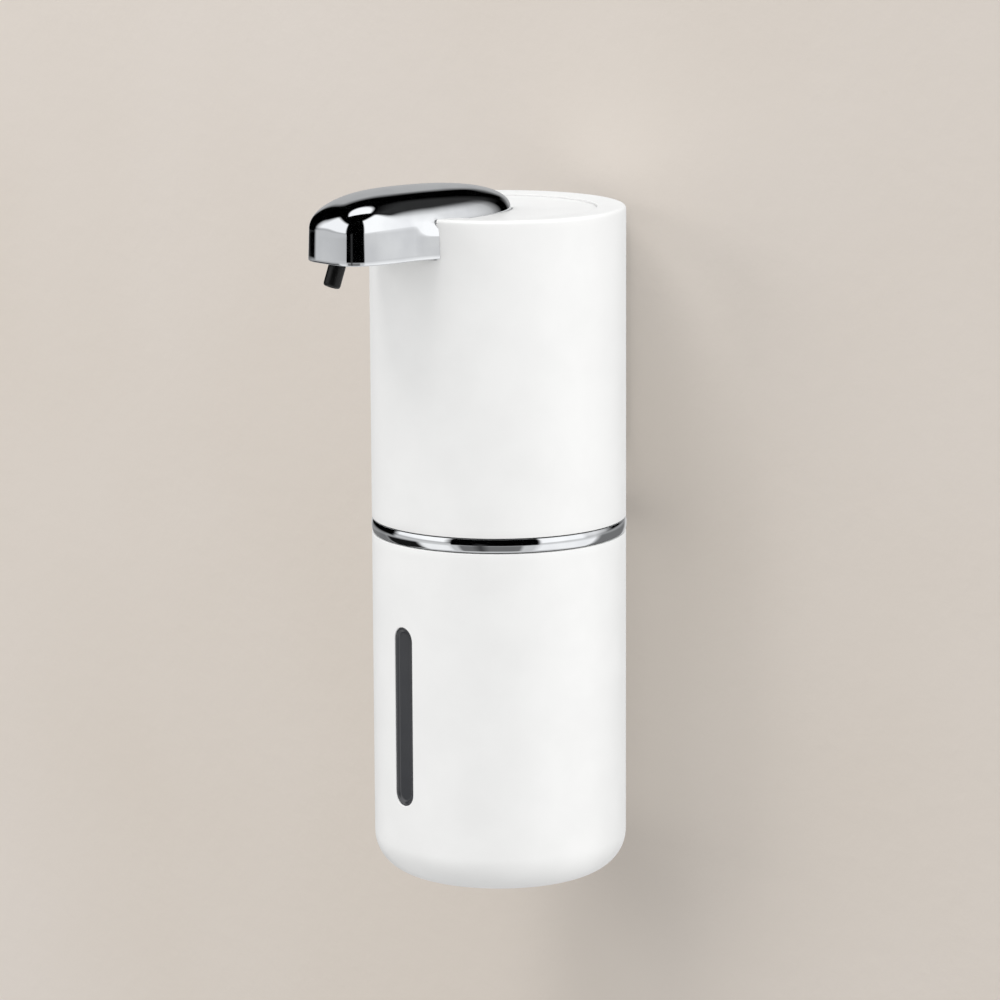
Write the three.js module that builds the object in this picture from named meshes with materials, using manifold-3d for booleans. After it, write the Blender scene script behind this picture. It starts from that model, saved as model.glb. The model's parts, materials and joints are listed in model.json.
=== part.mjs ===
// Wall mounted automatic soap dispenser: a round head with a chrome spout, hung on a wall bracket,
// over a soap bottle that pulls straight down off the head.
// Millimetres, +Z up. The spout points along -Y and the wall is at +Y.
import * as THREE from 'three';
import { mergeVertices } from 'three/addons/utils/BufferGeometryUtils.js';
import Module from 'manifold-3d';

const wasm = await Module();
wasm.setup();

// ---------- driving dimensions ----------
// Heights are above the base of the bottle, and x and y are from the axis of the round body.
const GAP = 0.3; // between two pieces that touch
const BODY_R = 36;
const BODY_TOP = 190.84;
const WALL = 2; // moulded wall of bottle and head
const BOTTLE_TOP = 98.44;
const RING_BOTTOM = 98.74;
const RING_TOP = 102.56;
const RING_PROUD = 0.15; // chrome ring beyond the body
const BASE_FILLET = 10.8;
const PAD_PROUD = 0.4; // rubber foot below the bottle's own base
const WINDOW = { halfWidth: 3.7, bottom: 23.8, top: 75.2, sunk: 0.5 };
const DISH_R = 28;
const DISH_DEPTH = 0.8;

// Screws that hold the head together: radii of their shanks, of their holes and of the bosses round them.
const BOLT = { shank: 1, hole: 1.3, boss: 3.2 };

// Spout: s is the distance from the body's axis towards the tip.
const SPOUT = {
  tip: 62.1,
  halfWidth: 12.4,
  noseLength: 20,
  nosePower: 3.9,
  fullWidthFrom: 33.5,
  rearLength: 37.4,
  crest: 36.4,
  frontPower: 2.46,
  rearPower: 2.56,
  crossPower: 2.25,
  bottom: 180,
  belt: 188.5,
  dome: 10.56,
  draft: 0.3,
  wall: 1.4,
};

// Wall side: the pad's back face is the wall.
const PAD_BACK = 42;
const MOUNT_HEIGHT = 152; // middle of the pad above the bottle's base
const BRACKET = { halfWidth: 7.4, bottom: 120, top: 184 };
const ADHESIVE = { halfWidth: 7, bottom: 122, top: 182 };
const RAIL = { bottom: 122, top: 163.7, headHalf: 3.5, neckHalf: 2 };

// Pump: two 12-tooth gears side by side, driven through a 40 to 10 tooth reduction.
const DRIVE_AXIS = [6, -6];
const PUMP_MODULE = 1;
const PUMP_TEETH = 12;
const REDUCTION_MODULE = 0.5;
const WHEEL_TEETH = 40;
const PINION_TEETH = 10;
const MOTOR_DIRECTION = 61.4; // degrees from +X, seen from the drive gear's axis
const DRIVEN_AXIS = [DRIVE_AXIS[0] + PUMP_MODULE * PUMP_TEETH, DRIVE_AXIS[1]];
const MOTOR_ARM = (REDUCTION_MODULE * (WHEEL_TEETH + PINION_TEETH)) / 2;
const MOTOR_AXIS = [
  DRIVE_AXIS[0] + MOTOR_ARM * Math.cos(THREE.MathUtils.degToRad(MOTOR_DIRECTION)),
  DRIVE_AXIS[1] + MOTOR_ARM * Math.sin(THREE.MathUtils.degToRad(MOTOR_DIRECTION)),
];
const INLET = [12, 0.6];
const OUTLET_Z = 118;
const PUMP_BOLTS = [[27, 0], [18, -19], [-7.5, -2.5]];
const BASE_BOLT_R = 31;
const BASE_BOLT_ANGLES = [-36, 60, 175, -100];

// Main board: it faces the button and the charging socket, 40 degrees round from the wall.
const BOARD_TURN = 40;
const BOARD = { inner: 25, outer: 26.6, left: -15.5, right: 14, bottom: 103.6, top: 166 };
const PORT = { along: -2, z: 128, mouthHalf: 2.9, mouthR: 1.9 };
const PORT_COVER = { halfWidth: 5.5, below: 4.1, above: 4.4, back: 35.1 };
const PORT_POCKET = { halfWidth: 5.9, below: 4.4, above: 5.1, floor: 34.8 };
const BUTTON = { along: -2, z: 150, r: 4.7, flange: 0.9 };
const CELL = { x: -20, y: -9, r: 9.25, bottom: 105.1, length: 65 };

const LARGE = 40; // sides of the large round pieces
const MEDIUM = 24;
const SMALL = 10;

// ---------- finishes ----------
function finish(color, roughness, metalness = 0) {
  return new THREE.MeshStandardMaterial({ color, roughness, metalness });
}
const whiteAbs = finish(0xf3f3f1, 0.35);
const chromePlate = finish(0xd8dadd, 0.06, 1);
const blackRubber = finish(0x141414, 0.5);
const smokedPlastic = finish(0x3a3b3d, 0.15);
const greyPlastic = finish(0x8d9094, 0.5);
const clearTube = finish(0xdfe5e6, 0.3);
const acetal = finish(0xeceae2, 0.45);
const steel = finish(0xb4b6b8, 0.3, 1);
const boardGreen = finish(0x1f6a45, 0.45);
const blackPlastic = finish(0x1d1e20, 0.4);
const foamTape = finish(0xe6e4de, 0.85);
const cellWrap = finish(0x2f7fb8, 0.4);
const redLead = finish(0xa8262a, 0.5);

// ---------- solids ----------
// A closed geometry as a solid, with shared corners joined and its faces turned outwards.
function solidOf(geometry) {
  const bare = geometry.clone();
  bare.deleteAttribute('normal');
  bare.deleteAttribute('uv');
  const joined = mergeVertices(bare, 1e-4);
  const points = joined.attributes.position;
  const corner = [0, 1, 2].map(() => new THREE.Vector3());
  const triangles = [];
  let volume = 0;
  for (let i = 0; i < joined.index.count; i += 3) {
    const ids = [0, 1, 2].map((k) => joined.index.getX(i + k));
    if (new Set(ids).size === 3) {
      triangles.push(ids);
      ids.forEach((id, k) => corner[k].fromBufferAttribute(points, id));
      volume += corner[0].dot(corner[1].cross(corner[2]));
    }
  }
  const outward = volume > 0 ? triangles : triangles.map(([a, b, c]) => [a, c, b]);
  return new wasm.Manifold(new wasm.Mesh({
    numProp: 3,
    vertProperties: Float32Array.from(points.array),
    triVerts: Uint32Array.from(outward.flat()),
  }));
}

function geometryOf(solid) {
  const mesh = solid.getMesh();
  const geometry = new THREE.BufferGeometry();
  geometry.setAttribute('position', new THREE.BufferAttribute(mesh.vertProperties, 3));
  geometry.setIndex(new THREE.BufferAttribute(mesh.triVerts, 1));
  geometry.computeVertexNormals();
  return geometry;
}

function join(first, ...others) {
  return others.reduce((whole, piece) => whole.add(piece), first);
}

function cut(first, ...others) {
  return others.reduce((whole, piece) => whole.subtract(piece), first);
}

function box(x0, x1, y0, y1, z0, z1) {
  const geometry = new THREE.BoxGeometry(x1 - x0, y1 - y0, z1 - z0);
  geometry.translate((x0 + x1) / 2, (y0 + y1) / 2, (z0 + z1) / 2);
  return solidOf(geometry);
}

// Upright cylinder.
function post(x, y, r, z0, z1, sides = SMALL) {
  const geometry = new THREE.CylinderGeometry(r, r, z1 - z0, sides);
  geometry.rotateX(Math.PI / 2);
  geometry.translate(x, y, (z0 + z1) / 2);
  return solidOf(geometry);
}

// Cylinder from one point to another.
function rod(from, to, r, sides = SMALL) {
  const start = new THREE.Vector3(...from);
  const span = new THREE.Vector3(...to).sub(start);
  const geometry = new THREE.CylinderGeometry(r, r, span.length(), sides);
  geometry.translate(0, span.length() / 2, 0);
  const turn = new THREE.Quaternion().setFromUnitVectors(
    new THREE.Vector3(0, 1, 0),
    span.clone().normalize(),
  );
  geometry.applyQuaternion(turn);
  geometry.translate(...from);
  return solidOf(geometry);
}

// Body of revolution about an upright axis, from [radius, height] corners, the outside going up.
function turned(profile, sides = LARGE, x = 0, y = 0) {
  const points = profile.map(([r, z]) => new THREE.Vector2(r, z));
  const geometry = new THREE.LatheGeometry(points, sides);
  geometry.rotateX(Math.PI / 2);
  geometry.translate(x, y, 0);
  return solidOf(geometry);
}

function ring(outer, inner, z0, z1, sides = LARGE, x = 0, y = 0) {
  const profile = [[inner, z0], [outer, z0], [outer, z1], [inner, z1], [inner, z0]];
  return turned(profile, sides, x, y);
}

// Corners of an arc, as [radius, height] pairs.
function arc(centreR, centreZ, r, fromDeg, toDeg, steps) {
  return Array.from({ length: steps + 1 }, (_, i) => {
    const angle = THREE.MathUtils.degToRad(fromDeg + ((toDeg - fromDeg) * i) / steps);
    return [centreR + r * Math.cos(angle), centreZ + r * Math.sin(angle)];
  });
}

function prism(shape, z0, z1, curveSegments = 5) {
  const options = { depth: z1 - z0, bevelEnabled: false, curveSegments };
  const geometry = new THREE.ExtrudeGeometry(shape, options);
  geometry.translate(0, 0, z0);
  return solidOf(geometry);
}

// Outline with straight sides and round ends, from one centre to another.
function capsuleShape([ax, ay], [bx, by], r) {
  const along = Math.atan2(by - ay, bx - ax);
  const shape = new THREE.Shape();
  shape.absarc(bx, by, r, along - Math.PI / 2, along + Math.PI / 2, false);
  shape.absarc(ax, ay, r, along + Math.PI / 2, along + (3 * Math.PI) / 2, false);
  return shape;
}

function capsule(a, b, r, z0, z1, curveSegments = 5) {
  return prism(capsuleShape(a, b, r), z0, z1, curveSegments);
}

// Round tube or lead along a smooth curve through the points.
function tube(points, outer, inner, sides, steps) {
  const shape = new THREE.Shape();
  shape.absarc(0, 0, outer, 0, 2 * Math.PI, false);
  if (inner > 0) {
    const bore = new THREE.Path();
    bore.absarc(0, 0, inner, 0, 2 * Math.PI, true);
    shape.holes.push(bore);
  }
  const path = new THREE.CatmullRomCurve3(points.map((p) => new THREE.Vector3(...p)));
  const options = { steps, extrudePath: path, curveSegments: sides / 2 };
  return solidOf(new THREE.ExtrudeGeometry(shape, options));
}

// Turns a solid made towards +Y round to where the board, the socket and the button are.
function towardsBoard(solid) {
  return solid.rotate([0, 0, BOARD_TURN]);
}

// Pan head screw pointing down from its head, with a round driver recess.
function screw(x, y, headTop, tipZ, shankR, headR, headHeight) {
  const socketR = headR * 0.45;
  const headBottom = headTop - headHeight;
  const profile = [
    [0, tipZ],
    [shankR, tipZ + shankR],
    [shankR, headBottom],
    [headR, headBottom],
    [headR * 0.85, headTop],
    [socketR, headTop],
    [0, headTop - headHeight * 0.5],
  ];
  return turned(profile, SMALL, x, y);
}

// The same screw put in from below.
function screwFromBelow(x, y, headBottom, tipZ, shankR, headR, headHeight) {
  const upright = screw(0, 0, 0, headBottom - tipZ, shankR, headR, headHeight);
  return upright.rotate([180, 0, 0]).translate([x, y, headBottom]);
}

// ---------- gears ----------
const PRESSURE_ANGLE = THREE.MathUtils.degToRad(25);
const TOOTH_SHARE = 0.84; // of half the tooth pitch, so the teeth run with backlash
const ADDENDUM = 0.8;
const DEDENDUM = 1.1;

function involute(angle) {
  return Math.tan(angle) - angle;
}

// Involute gear outline with one tooth centred on the direction `turn`, in radians.
function gearShape(teeth, module, turn) {
  const pitchR = (teeth * module) / 2;
  const baseR = pitchR * Math.cos(PRESSURE_ANGLE);
  const tipR = pitchR + ADDENDUM * module;
  const rootR = pitchR - DEDENDUM * module;
  const halfAtPitch = (TOOTH_SHARE * Math.PI) / (2 * teeth);
  const halfAt = (r) => {
    const flank = Math.acos(Math.min(1, baseR / r));
    return halfAtPitch + involute(PRESSURE_ANGLE) - involute(flank);
  };
  const rise = [rootR, pitchR, tipR];
  const shape = new THREE.Shape();
  for (let tooth = 0; tooth < teeth; tooth += 1) {
    const middle = turn + (2 * Math.PI * tooth) / teeth;
    const up = rise.map((r) => [r, middle - halfAt(r)]);
    const down = [...rise].reverse().map((r) => [r, middle + halfAt(r)]);
    [...up, ...down].forEach(([r, angle], i) => {
      const place = [r * Math.cos(angle), r * Math.sin(angle)];
      if (tooth === 0 && i === 0) shape.moveTo(...place);
      else shape.lineTo(...place);
    });
  }
  shape.closePath();
  return shape;
}

function gear([x, y], teeth, module, turnDeg, boreR, z0, z1) {
  const shape = gearShape(teeth, module, THREE.MathUtils.degToRad(turnDeg));
  const bore = new THREE.Path();
  bore.absarc(0, 0, boreR, 0, 2 * Math.PI, true);
  shape.holes.push(bore);
  return prism(shape, z0, z1, 6).translate([x, y, 0]);
}

// ---------- the model ----------
const model = new THREE.Group();
const dispenser = new THREE.Group();
dispenser.position.set(0, -PAD_BACK, -MOUNT_HEIGHT);
model.add(dispenser);

function part(name, solid, material) {
  const mesh = new THREE.Mesh(geometryOf(solid), material);
  mesh.name = name;
  dispenser.add(mesh);
}

// ---------- spout form ----------
// A closed form of the spout drawn in by `inset` all round, standing on `bottom`. In plan it is half
// an ellipse at the rear and a squared nose at the tip. Across, it has upright sides to the belt and
// a dome above, which is highest at the crest.
function spoutForm(inset, bottom) {
  const tip = SPOUT.tip - inset;
  const width = SPOUT.halfWidth - inset;
  const rearLength = SPOUT.rearLength - inset;
  const nose = SPOUT.noseLength - inset;
  const rear = SPOUT.fullWidthFrom - rearLength;
  const stations = 20;
  const domeSteps = 10;
  const curve = (share, power) => Math.max(0, 1 - share ** power) ** (1 / power);
  const halfAt = (s) => {
    if (s < SPOUT.fullWidthFrom) return width * curve((SPOUT.fullWidthFrom - s) / rearLength, 2);
    if (s > tip - nose) return width * curve((s - tip + nose) / nose, SPOUT.nosePower);
    return width;
  };
  const riseAt = (s) => {
    if (s > SPOUT.crest) return curve((s - SPOUT.crest) / (tip - SPOUT.crest), SPOUT.frontPower);
    return curve((SPOUT.crest - s) / (SPOUT.crest - rear), SPOUT.rearPower);
  };
  const flare = (SPOUT.draft * (SPOUT.belt - bottom)) / (SPOUT.belt - SPOUT.bottom);
  const points = [];
  for (let i = 0; i < stations; i += 1) {
    const share = 0.03 + (0.955 * i) / (stations - 1);
    const s = rear + ((tip - rear) * (1 - Math.cos(Math.PI * share))) / 2;
    const half = halfAt(s);
    const height = (SPOUT.dome - inset) * riseAt(s);
    points.push([-half - flare, -s, bottom], [half + flare, -s, bottom]);
    for (let j = 0; j <= domeSteps; j += 1) {
      const across = Math.cos((Math.PI * j) / domeSteps);
      const up = curve(Math.abs(across), SPOUT.crossPower);
      points.push([half * across, -s, SPOUT.belt + height * up]);
    }
  }
  const count = domeSteps + 3;
  const triangles = [];
  for (let i = 0; i < stations - 1; i += 1) {
    for (let j = 0; j < count; j += 1) {
      const here = i * count;
      const next = here + count;
      const k = (j + 1) % count;
      triangles.push(here + j, here + k, next + k, here + j, next + k, next + j);
    }
  }
  const last = (stations - 1) * count;
  for (let j = 1; j < count - 1; j += 1) {
    triangles.push(0, j + 1, j, last, last + j, last + j + 1);
  }
  const geometry = new THREE.BufferGeometry();
  geometry.setAttribute('position', new THREE.Float32BufferAttribute(points.flat(), 3));
  geometry.setIndex(triangles);
  return solidOf(geometry);
}
const spoutClearance = spoutForm(-GAP - 0.05, SPOUT.bottom - GAP - 0.05);

// ---------- wall bracket ----------
const HANGER_BACK = 39;
const RAIL_FRONT = 36.6;
const RAIL_BACK = 37.7;
const PLATE_FRONT = HANGER_BACK + GAP;
const PLATE_BACK = 40.7;
const PAD_FRONT = PLATE_BACK + GAP;

function wallBracket() {
  const { halfWidth, bottom, top } = BRACKET;
  const plate = box(-halfWidth, halfWidth, PLATE_FRONT, PLATE_BACK, bottom, top);
  const neck = box(-RAIL.neckHalf, RAIL.neckHalf, RAIL_BACK - 0.2, PLATE_FRONT + 0.2, RAIL.bottom, RAIL.top);
  const head = box(-RAIL.headHalf, RAIL.headHalf, RAIL_FRONT, RAIL_BACK, RAIL.bottom, RAIL.top);
  return join(plate, neck, head);
}
part('wall_bracket', wallBracket(), greyPlastic);
part(
  'adhesive_pad',
  box(-ADHESIVE.halfWidth, ADHESIVE.halfWidth, PAD_FRONT, PAD_BACK, ADHESIVE.bottom, ADHESIVE.top),
  foamTape,
);

// ---------- hanger on the back of the head ----------
const HANGER_SCREW_Z = { upper: 179, lower: 171.5 };
const HANGER_SCREW = { shank: 1.1, hole: 1.4, head: 2.3, sink: 2.7, sinkFloor: 37.5, tip: 29.6 };
const HANGER_BOSS = { r: 3.4, inner: 28.5, outer: BODY_R - 1.5 };

function hangerPlate() {
  const { halfWidth, bottom, top } = BRACKET;
  const block = box(-halfWidth, halfWidth, 30, HANGER_BACK, bottom, top);
  const body = post(0, 0, BODY_R + GAP, bottom - 1, top + 1, LARGE * 2);
  const slotTop = RAIL.top + GAP;
  const wideHalf = RAIL.headHalf + 0.4;
  const neckHalf = RAIL.neckHalf + GAP;
  const wide = box(-wideHalf, wideHalf, 30, RAIL_BACK + GAP, bottom - 1, slotTop);
  const narrow = box(-neckHalf, neckHalf, 30, HANGER_BACK + 1, bottom - 1, slotTop);
  let plate = cut(block, body, wide, narrow);
  for (const z of Object.values(HANGER_SCREW_Z)) {
    const hole = rod([0, 30, z], [0, 45, z], HANGER_SCREW.hole);
    const sink = rod([0, HANGER_SCREW.sinkFloor, z], [0, 45, z], HANGER_SCREW.sink, SMALL + 4);
    plate = cut(plate, hole, sink);
  }
  return plate;
}
part('hanger_plate', hangerPlate(), whiteAbs);
for (const [place, z] of Object.entries(HANGER_SCREW_Z)) {
  const { shank, head, sinkFloor, tip } = HANGER_SCREW;
  const flat = screw(0, 0, sinkFloor + GAP + 1, tip, shank, head, 1);
  const towardsBody = flat.rotate([-90, 0, 0]);
  part(`hanger_screw_${place}`, towardsBody.translate([0, 0, z]), steel);
}

// ---------- head shell, top panel and trim ring ----------
const HEAD_BOTTOM = RING_TOP + GAP;
const EDGE_R = 1;
const RIM_DROP = 0.25;
const LEDGE_TOP = BODY_TOP - DISH_DEPTH - 1.2 - GAP;
const LEDGE_BOTTOM = 187;
const BOSS_TOP = 118;

// A piece of the body's wall round the charging socket, between two radii.
function portZone({ halfWidth, below, above }, outer, inner) {
  const { along, z } = PORT;
  const zone = box(along - halfWidth, along + halfWidth, 30, 40, z - below, z + above);
  return zone.intersect(ring(outer, inner, z - 10, z + 10, LARGE * 2));
}

function headShell() {
  const inner = BODY_R - WALL;
  const profile = [
    [inner, HEAD_BOTTOM],
    [BODY_R, HEAD_BOTTOM],
    ...arc(BODY_R - EDGE_R, BODY_TOP - EDGE_R, EDGE_R, 0, 90, 3),
    [DISH_R, BODY_TOP - RIM_DROP],
    [DISH_R, LEDGE_TOP],
    [DISH_R - 4, LEDGE_TOP],
    [DISH_R - 4, LEDGE_BOTTOM],
    [inner, LEDGE_BOTTOM],
    [inner, HEAD_BOTTOM],
  ];
  let shell = turned(profile);
  for (const angle of BASE_BOLT_ANGLES) {
    const boss = post(BASE_BOLT_R, 0, BOLT.boss, HEAD_BOTTOM + 0.44, BOSS_TOP);
    const hole = post(BASE_BOLT_R, 0, BOLT.hole, HEAD_BOTTOM - 1, BOSS_TOP - 4);
    shell = shell.add(boss.rotate([0, 0, angle])).subtract(hole.rotate([0, 0, angle]));
  }
  for (const z of Object.values(HANGER_SCREW_Z)) {
    const { r, inner: from, outer: to } = HANGER_BOSS;
    shell = shell.add(rod([0, from, z], [0, to, z], r, SMALL + 4));
    shell = shell.subtract(rod([0, from + 0.4, z], [0, 40, z], HANGER_SCREW.hole));
  }
  // Shallow pocket for the charging cover, with the socket's opening through its floor.
  const pocket = towardsBoard(portZone(PORT_POCKET, 40, PORT_POCKET.floor));
  const mouthEnds = [[PORT.along - PORT.mouthHalf, 0], [PORT.along + PORT.mouthHalf, 0]];
  const mouth = capsule(...mouthEnds, PORT.mouthR, 30, 40);
  const socketHole = towardsBoard(mouth.rotate([-90, 0, 0]).translate([0, 0, PORT.z]));
  const buttonHole = towardsBoard(
    rod([BUTTON.along, 30, BUTTON.z], [BUTTON.along, 40, BUTTON.z], BUTTON.r + GAP, MEDIUM),
  );
  return cut(shell, pocket, socketHole, buttonHole, spoutClearance);
}
part('head_shell', headShell(), whiteAbs);

part(
  'top_panel',
  cut(post(0, 0, DISH_R - GAP, LEDGE_TOP + GAP, BODY_TOP - DISH_DEPTH, LARGE), spoutClearance),
  whiteAbs,
);

function chromeRing() {
  const outer = BODY_R + RING_PROUD;
  const inner = BODY_R - WALL;
  const edge = 0.4;
  return turned([
    [inner, RING_BOTTOM],
    [outer - edge, RING_BOTTOM],
    [outer, RING_BOTTOM + edge],
    [outer, RING_TOP - edge],
    [outer - edge, RING_TOP],
    [inner, RING_TOP],
    [inner, RING_BOTTOM],
  ]);
}
part('chrome_ring', chromeRing(), chromePlate);

// ---------- head base: the chassis that carries everything inside ----------
const BASE_PLATE = { bottom: 99, top: 103, r: BODY_R - WALL - GAP };
const SKIRT = { outer: 29.6, inner: 26.4, bottom: 87 };
const GROOVE = { floor: 28.3, bottom: 91.5, top: 94.3 };
const STUB_R = 2.8;
const BASE_SCREW = { head: 2.1, headHeight: 1.2, headBottom: 99.3, tip: 111, sink: 2.4, sinkFloor: 100.8 };

function boardRail(along0, along1, slot0, slot1) {
  const rail = box(along0, along1, BOARD.inner - 1.6, BOARD.outer + 1.4, BASE_PLATE.top - 0.5, 128);
  const slot = box(slot0, slot1, BOARD.inner - GAP, BOARD.outer + GAP, BOARD.bottom - GAP, 129);
  return towardsBoard(rail.subtract(slot));
}

function headBase() {
  const profile = [
    [0, BASE_PLATE.bottom],
    [SKIRT.inner, BASE_PLATE.bottom],
    [SKIRT.inner, SKIRT.bottom],
    [SKIRT.outer - 0.8, SKIRT.bottom],
    [SKIRT.outer, SKIRT.bottom + 1.2],
    [SKIRT.outer, GROOVE.bottom],
    [GROOVE.floor, GROOVE.bottom],
    [GROOVE.floor, GROOVE.top],
    [SKIRT.outer, GROOVE.top],
    [SKIRT.outer, BASE_PLATE.bottom],
    [BASE_PLATE.r, BASE_PLATE.bottom],
    [BASE_PLATE.r, BASE_PLATE.top],
    [0, BASE_PLATE.top],
  ];
  let base = join(
    turned(profile),
    boardRail(BOARD.right - 1, BOARD.right + 3.2, 0, BOARD.right + GAP),
    boardRail(BOARD.left - 2.5, BOARD.left + 1, BOARD.left - GAP, 0),
  );
  base = base.subtract(post(...INLET, STUB_R + GAP, 90, 110));
  base = base.subtract(post(-10, 10, 0.7, 90, 110, 8));
  for (const [x, y] of PUMP_BOLTS) {
    base = base.subtract(post(x, y, BOLT.hole, 100.6, 110));
  }
  for (const angle of BASE_BOLT_ANGLES) {
    const through = post(BASE_BOLT_R, 0, BOLT.hole, 90, 110);
    const sink = post(BASE_BOLT_R, 0, BASE_SCREW.sink, 90, BASE_SCREW.sinkFloor);
    base = cut(base, through.rotate([0, 0, angle]), sink.rotate([0, 0, angle]));
  }
  return base;
}
part('head_base', headBase(), greyPlastic);

BASE_BOLT_ANGLES.forEach((angle, i) => {
  const { head, headHeight, headBottom, tip } = BASE_SCREW;
  const fitted = screwFromBelow(BASE_BOLT_R, 0, headBottom, tip, BOLT.shank, head, headHeight);
  part(`base_screw_${i + 1}`, fitted.rotate([0, 0, angle]), steel);
});

part('bottle_seal', turned(arc(29.8, 92.9, 1.2, 0, 360, 6)), blackRubber);

// ---------- spout ----------
const SPOUT_PLATE = { bottom: SPOUT.bottom + GAP, top: 182.8, rear: 10.5 };
const SPOUT_SCREWS = [[-6, -14], [-6, -38]];
const SPOUT_SCREW = { head: 2, headHeight: 0.9, headBottom: 180.5, tip: 188.8, sink: 2.3, sinkFloor: 181.7 };
const SPOUT_BOSS_R = 2.7;
const NOZZLE = { r: 2.38, bore: 1.3, tilt: 21, s: 56.4, top: 183.1, length: 10.3, slotHalf: 3 };
const tilt = THREE.MathUtils.degToRad(NOZZLE.tilt);

// A point on the nozzle's slanting axis, `down` along it from where it leaves its flange.
function nozzlePoint(down) {
  return [0, -NOZZLE.s - down * Math.sin(tilt), NOZZLE.top - down * Math.cos(tilt)];
}
const nozzleClearance = rod(nozzlePoint(-2), nozzlePoint(10), NOZZLE.r + 0.35, 18);

function spoutCover() {
  const outside = spoutForm(0, SPOUT.bottom);
  const inside = spoutForm(SPOUT.wall, SPOUT.bottom - 2);
  let cover = outside.subtract(inside);
  for (const [x, y] of SPOUT_SCREWS) {
    const boss = post(x, y, SPOUT_BOSS_R, SPOUT_PLATE.top + GAP, 210).intersect(outside);
    cover = cover.add(boss).subtract(post(x, y, BOLT.hole, SPOUT_PLATE.top, SPOUT_SCREW.tip + 0.7));
  }
  return cover;
}
part('spout_cover', spoutCover(), chromePlate);

const SENSOR_S = 48.2;
const SENSOR_ENDS = [[-3.9, -SENSOR_S], [3.9, -SENSOR_S]];
const SENSOR_R = 2.75;
const SENSOR_APART = 3.2; // emitter and receiver each side of the middle

function spoutBase() {
  const slab = box(-20, 20, -70, -SPOUT_PLATE.rear, SPOUT_PLATE.bottom, SPOUT_PLATE.top);
  let plate = spoutForm(SPOUT.wall + GAP, SPOUT.bottom - 2).intersect(slab);
  for (const [x, y] of SPOUT_SCREWS) {
    const sink = post(x, y, SPOUT_SCREW.sink, 170, SPOUT_SCREW.sinkFloor);
    plate = cut(plate, post(x, y, BOLT.hole, 170, 190), sink);
  }
  const tubePass = box(4.3, 20, -34, -23, 170, 190);
  const sensorHole = capsule(...SENSOR_ENDS, SENSOR_R + GAP, 170, 190);
  // The plate is open to its edge in front of the nozzle.
  const slot = box(-NOZZLE.slotHalf, NOZZLE.slotHalf, -70, -NOZZLE.s - 0.6, 170, 190);
  return cut(plate, nozzleClearance, slot, tubePass, sensorHole);
}
part('spout_base', spoutBase(), whiteAbs);

SPOUT_SCREWS.forEach(([x, y], i) => {
  const name = i === 0 ? 'spout_screw_rear' : 'spout_screw_front';
  const { head, headHeight, headBottom, tip } = SPOUT_SCREW;
  part(name, screwFromBelow(x, y, headBottom, tip, BOLT.shank, head, headHeight), steel);
});

function nozzle() {
  const flange = post(0, -NOZZLE.s - 0.1, 3, NOZZLE.top, NOZZLE.top + 1.1, 18);
  const stem = rod(nozzlePoint(-0.6), nozzlePoint(NOZZLE.length), NOZZLE.r, 18);
  return join(flange, stem).subtract(rod(nozzlePoint(-4), nozzlePoint(12), NOZZLE.bore));
}
part('nozzle', nozzle(), blackRubber);

part('sensor_window', capsule(...SENSOR_ENDS, SENSOR_R, 180.6, 182.3), smokedPlastic);

function dome(x, y, r, top, tipZ) {
  return turned([[0, tipZ], [r * 0.6, tipZ + r * 0.25], [r, tipZ + r], [r, top], [0, top]], SMALL, x, y);
}
part('ir_emitter', dome(-SENSOR_APART, -SENSOR_S, 1.5, 185.2, 182.6), clearTube);
part('ir_receiver', dome(SENSOR_APART, -SENSOR_S, 1.5, 185.2, 182.6), blackPlastic);
part('status_light', box(-0.9, 0.9, -SENSOR_S - 0.9, -SENSOR_S + 0.9, 184.2, 185.2), acetal);
part('sensor_board', box(-7.5, 4.6, -51.4, -43, 185.5, 186.5), boardGreen);

// ---------- pump ----------
const PUMP = { bottom: 112, top: 122.6, pocketFloor: 115, gearBottom: 115.3, gearTop: 122.3 };
const GEAR_POCKET_R = 7.25;
const PUMP_R = 10; // outside of the body round each gear
const STUB_BORE = 0.8;
const SPIGOT_R = 1.4; // ends that the tubes push over
const SHAFT_R = 1.5;
const SHAFT_HOLE_R = SHAFT_R + GAP;
const PUMP_COVER = { bottom: PUMP.top + GAP, top: 126 };
const WHEEL = { bottom: 129, top: 132 };
const MOTOR_PLATE = { bottom: 134.5, top: 137 };
const LEG_TOP = MOTOR_PLATE.bottom - GAP;

// Outline shared by the pump's body and cover: round both gears, with an arm out to each bolt.
function pumpBlock(z0, z1) {
  const [first, second, third] = PUMP_BOLTS;
  return join(
    capsule(DRIVE_AXIS, DRIVEN_AXIS, PUMP_R, z0, z1, 8),
    capsule(first, DRIVEN_AXIS, BOLT.boss, z0, z1),
    capsule(second, DRIVEN_AXIS, BOLT.boss, z0, z1),
    capsule(third, DRIVE_AXIS, BOLT.boss, z0, z1),
  );
}

function boltHoles(solid) {
  return PUMP_BOLTS.reduce((left, [x, y]) => left.subtract(post(x, y, BOLT.hole, 90, 160)), solid);
}

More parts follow.
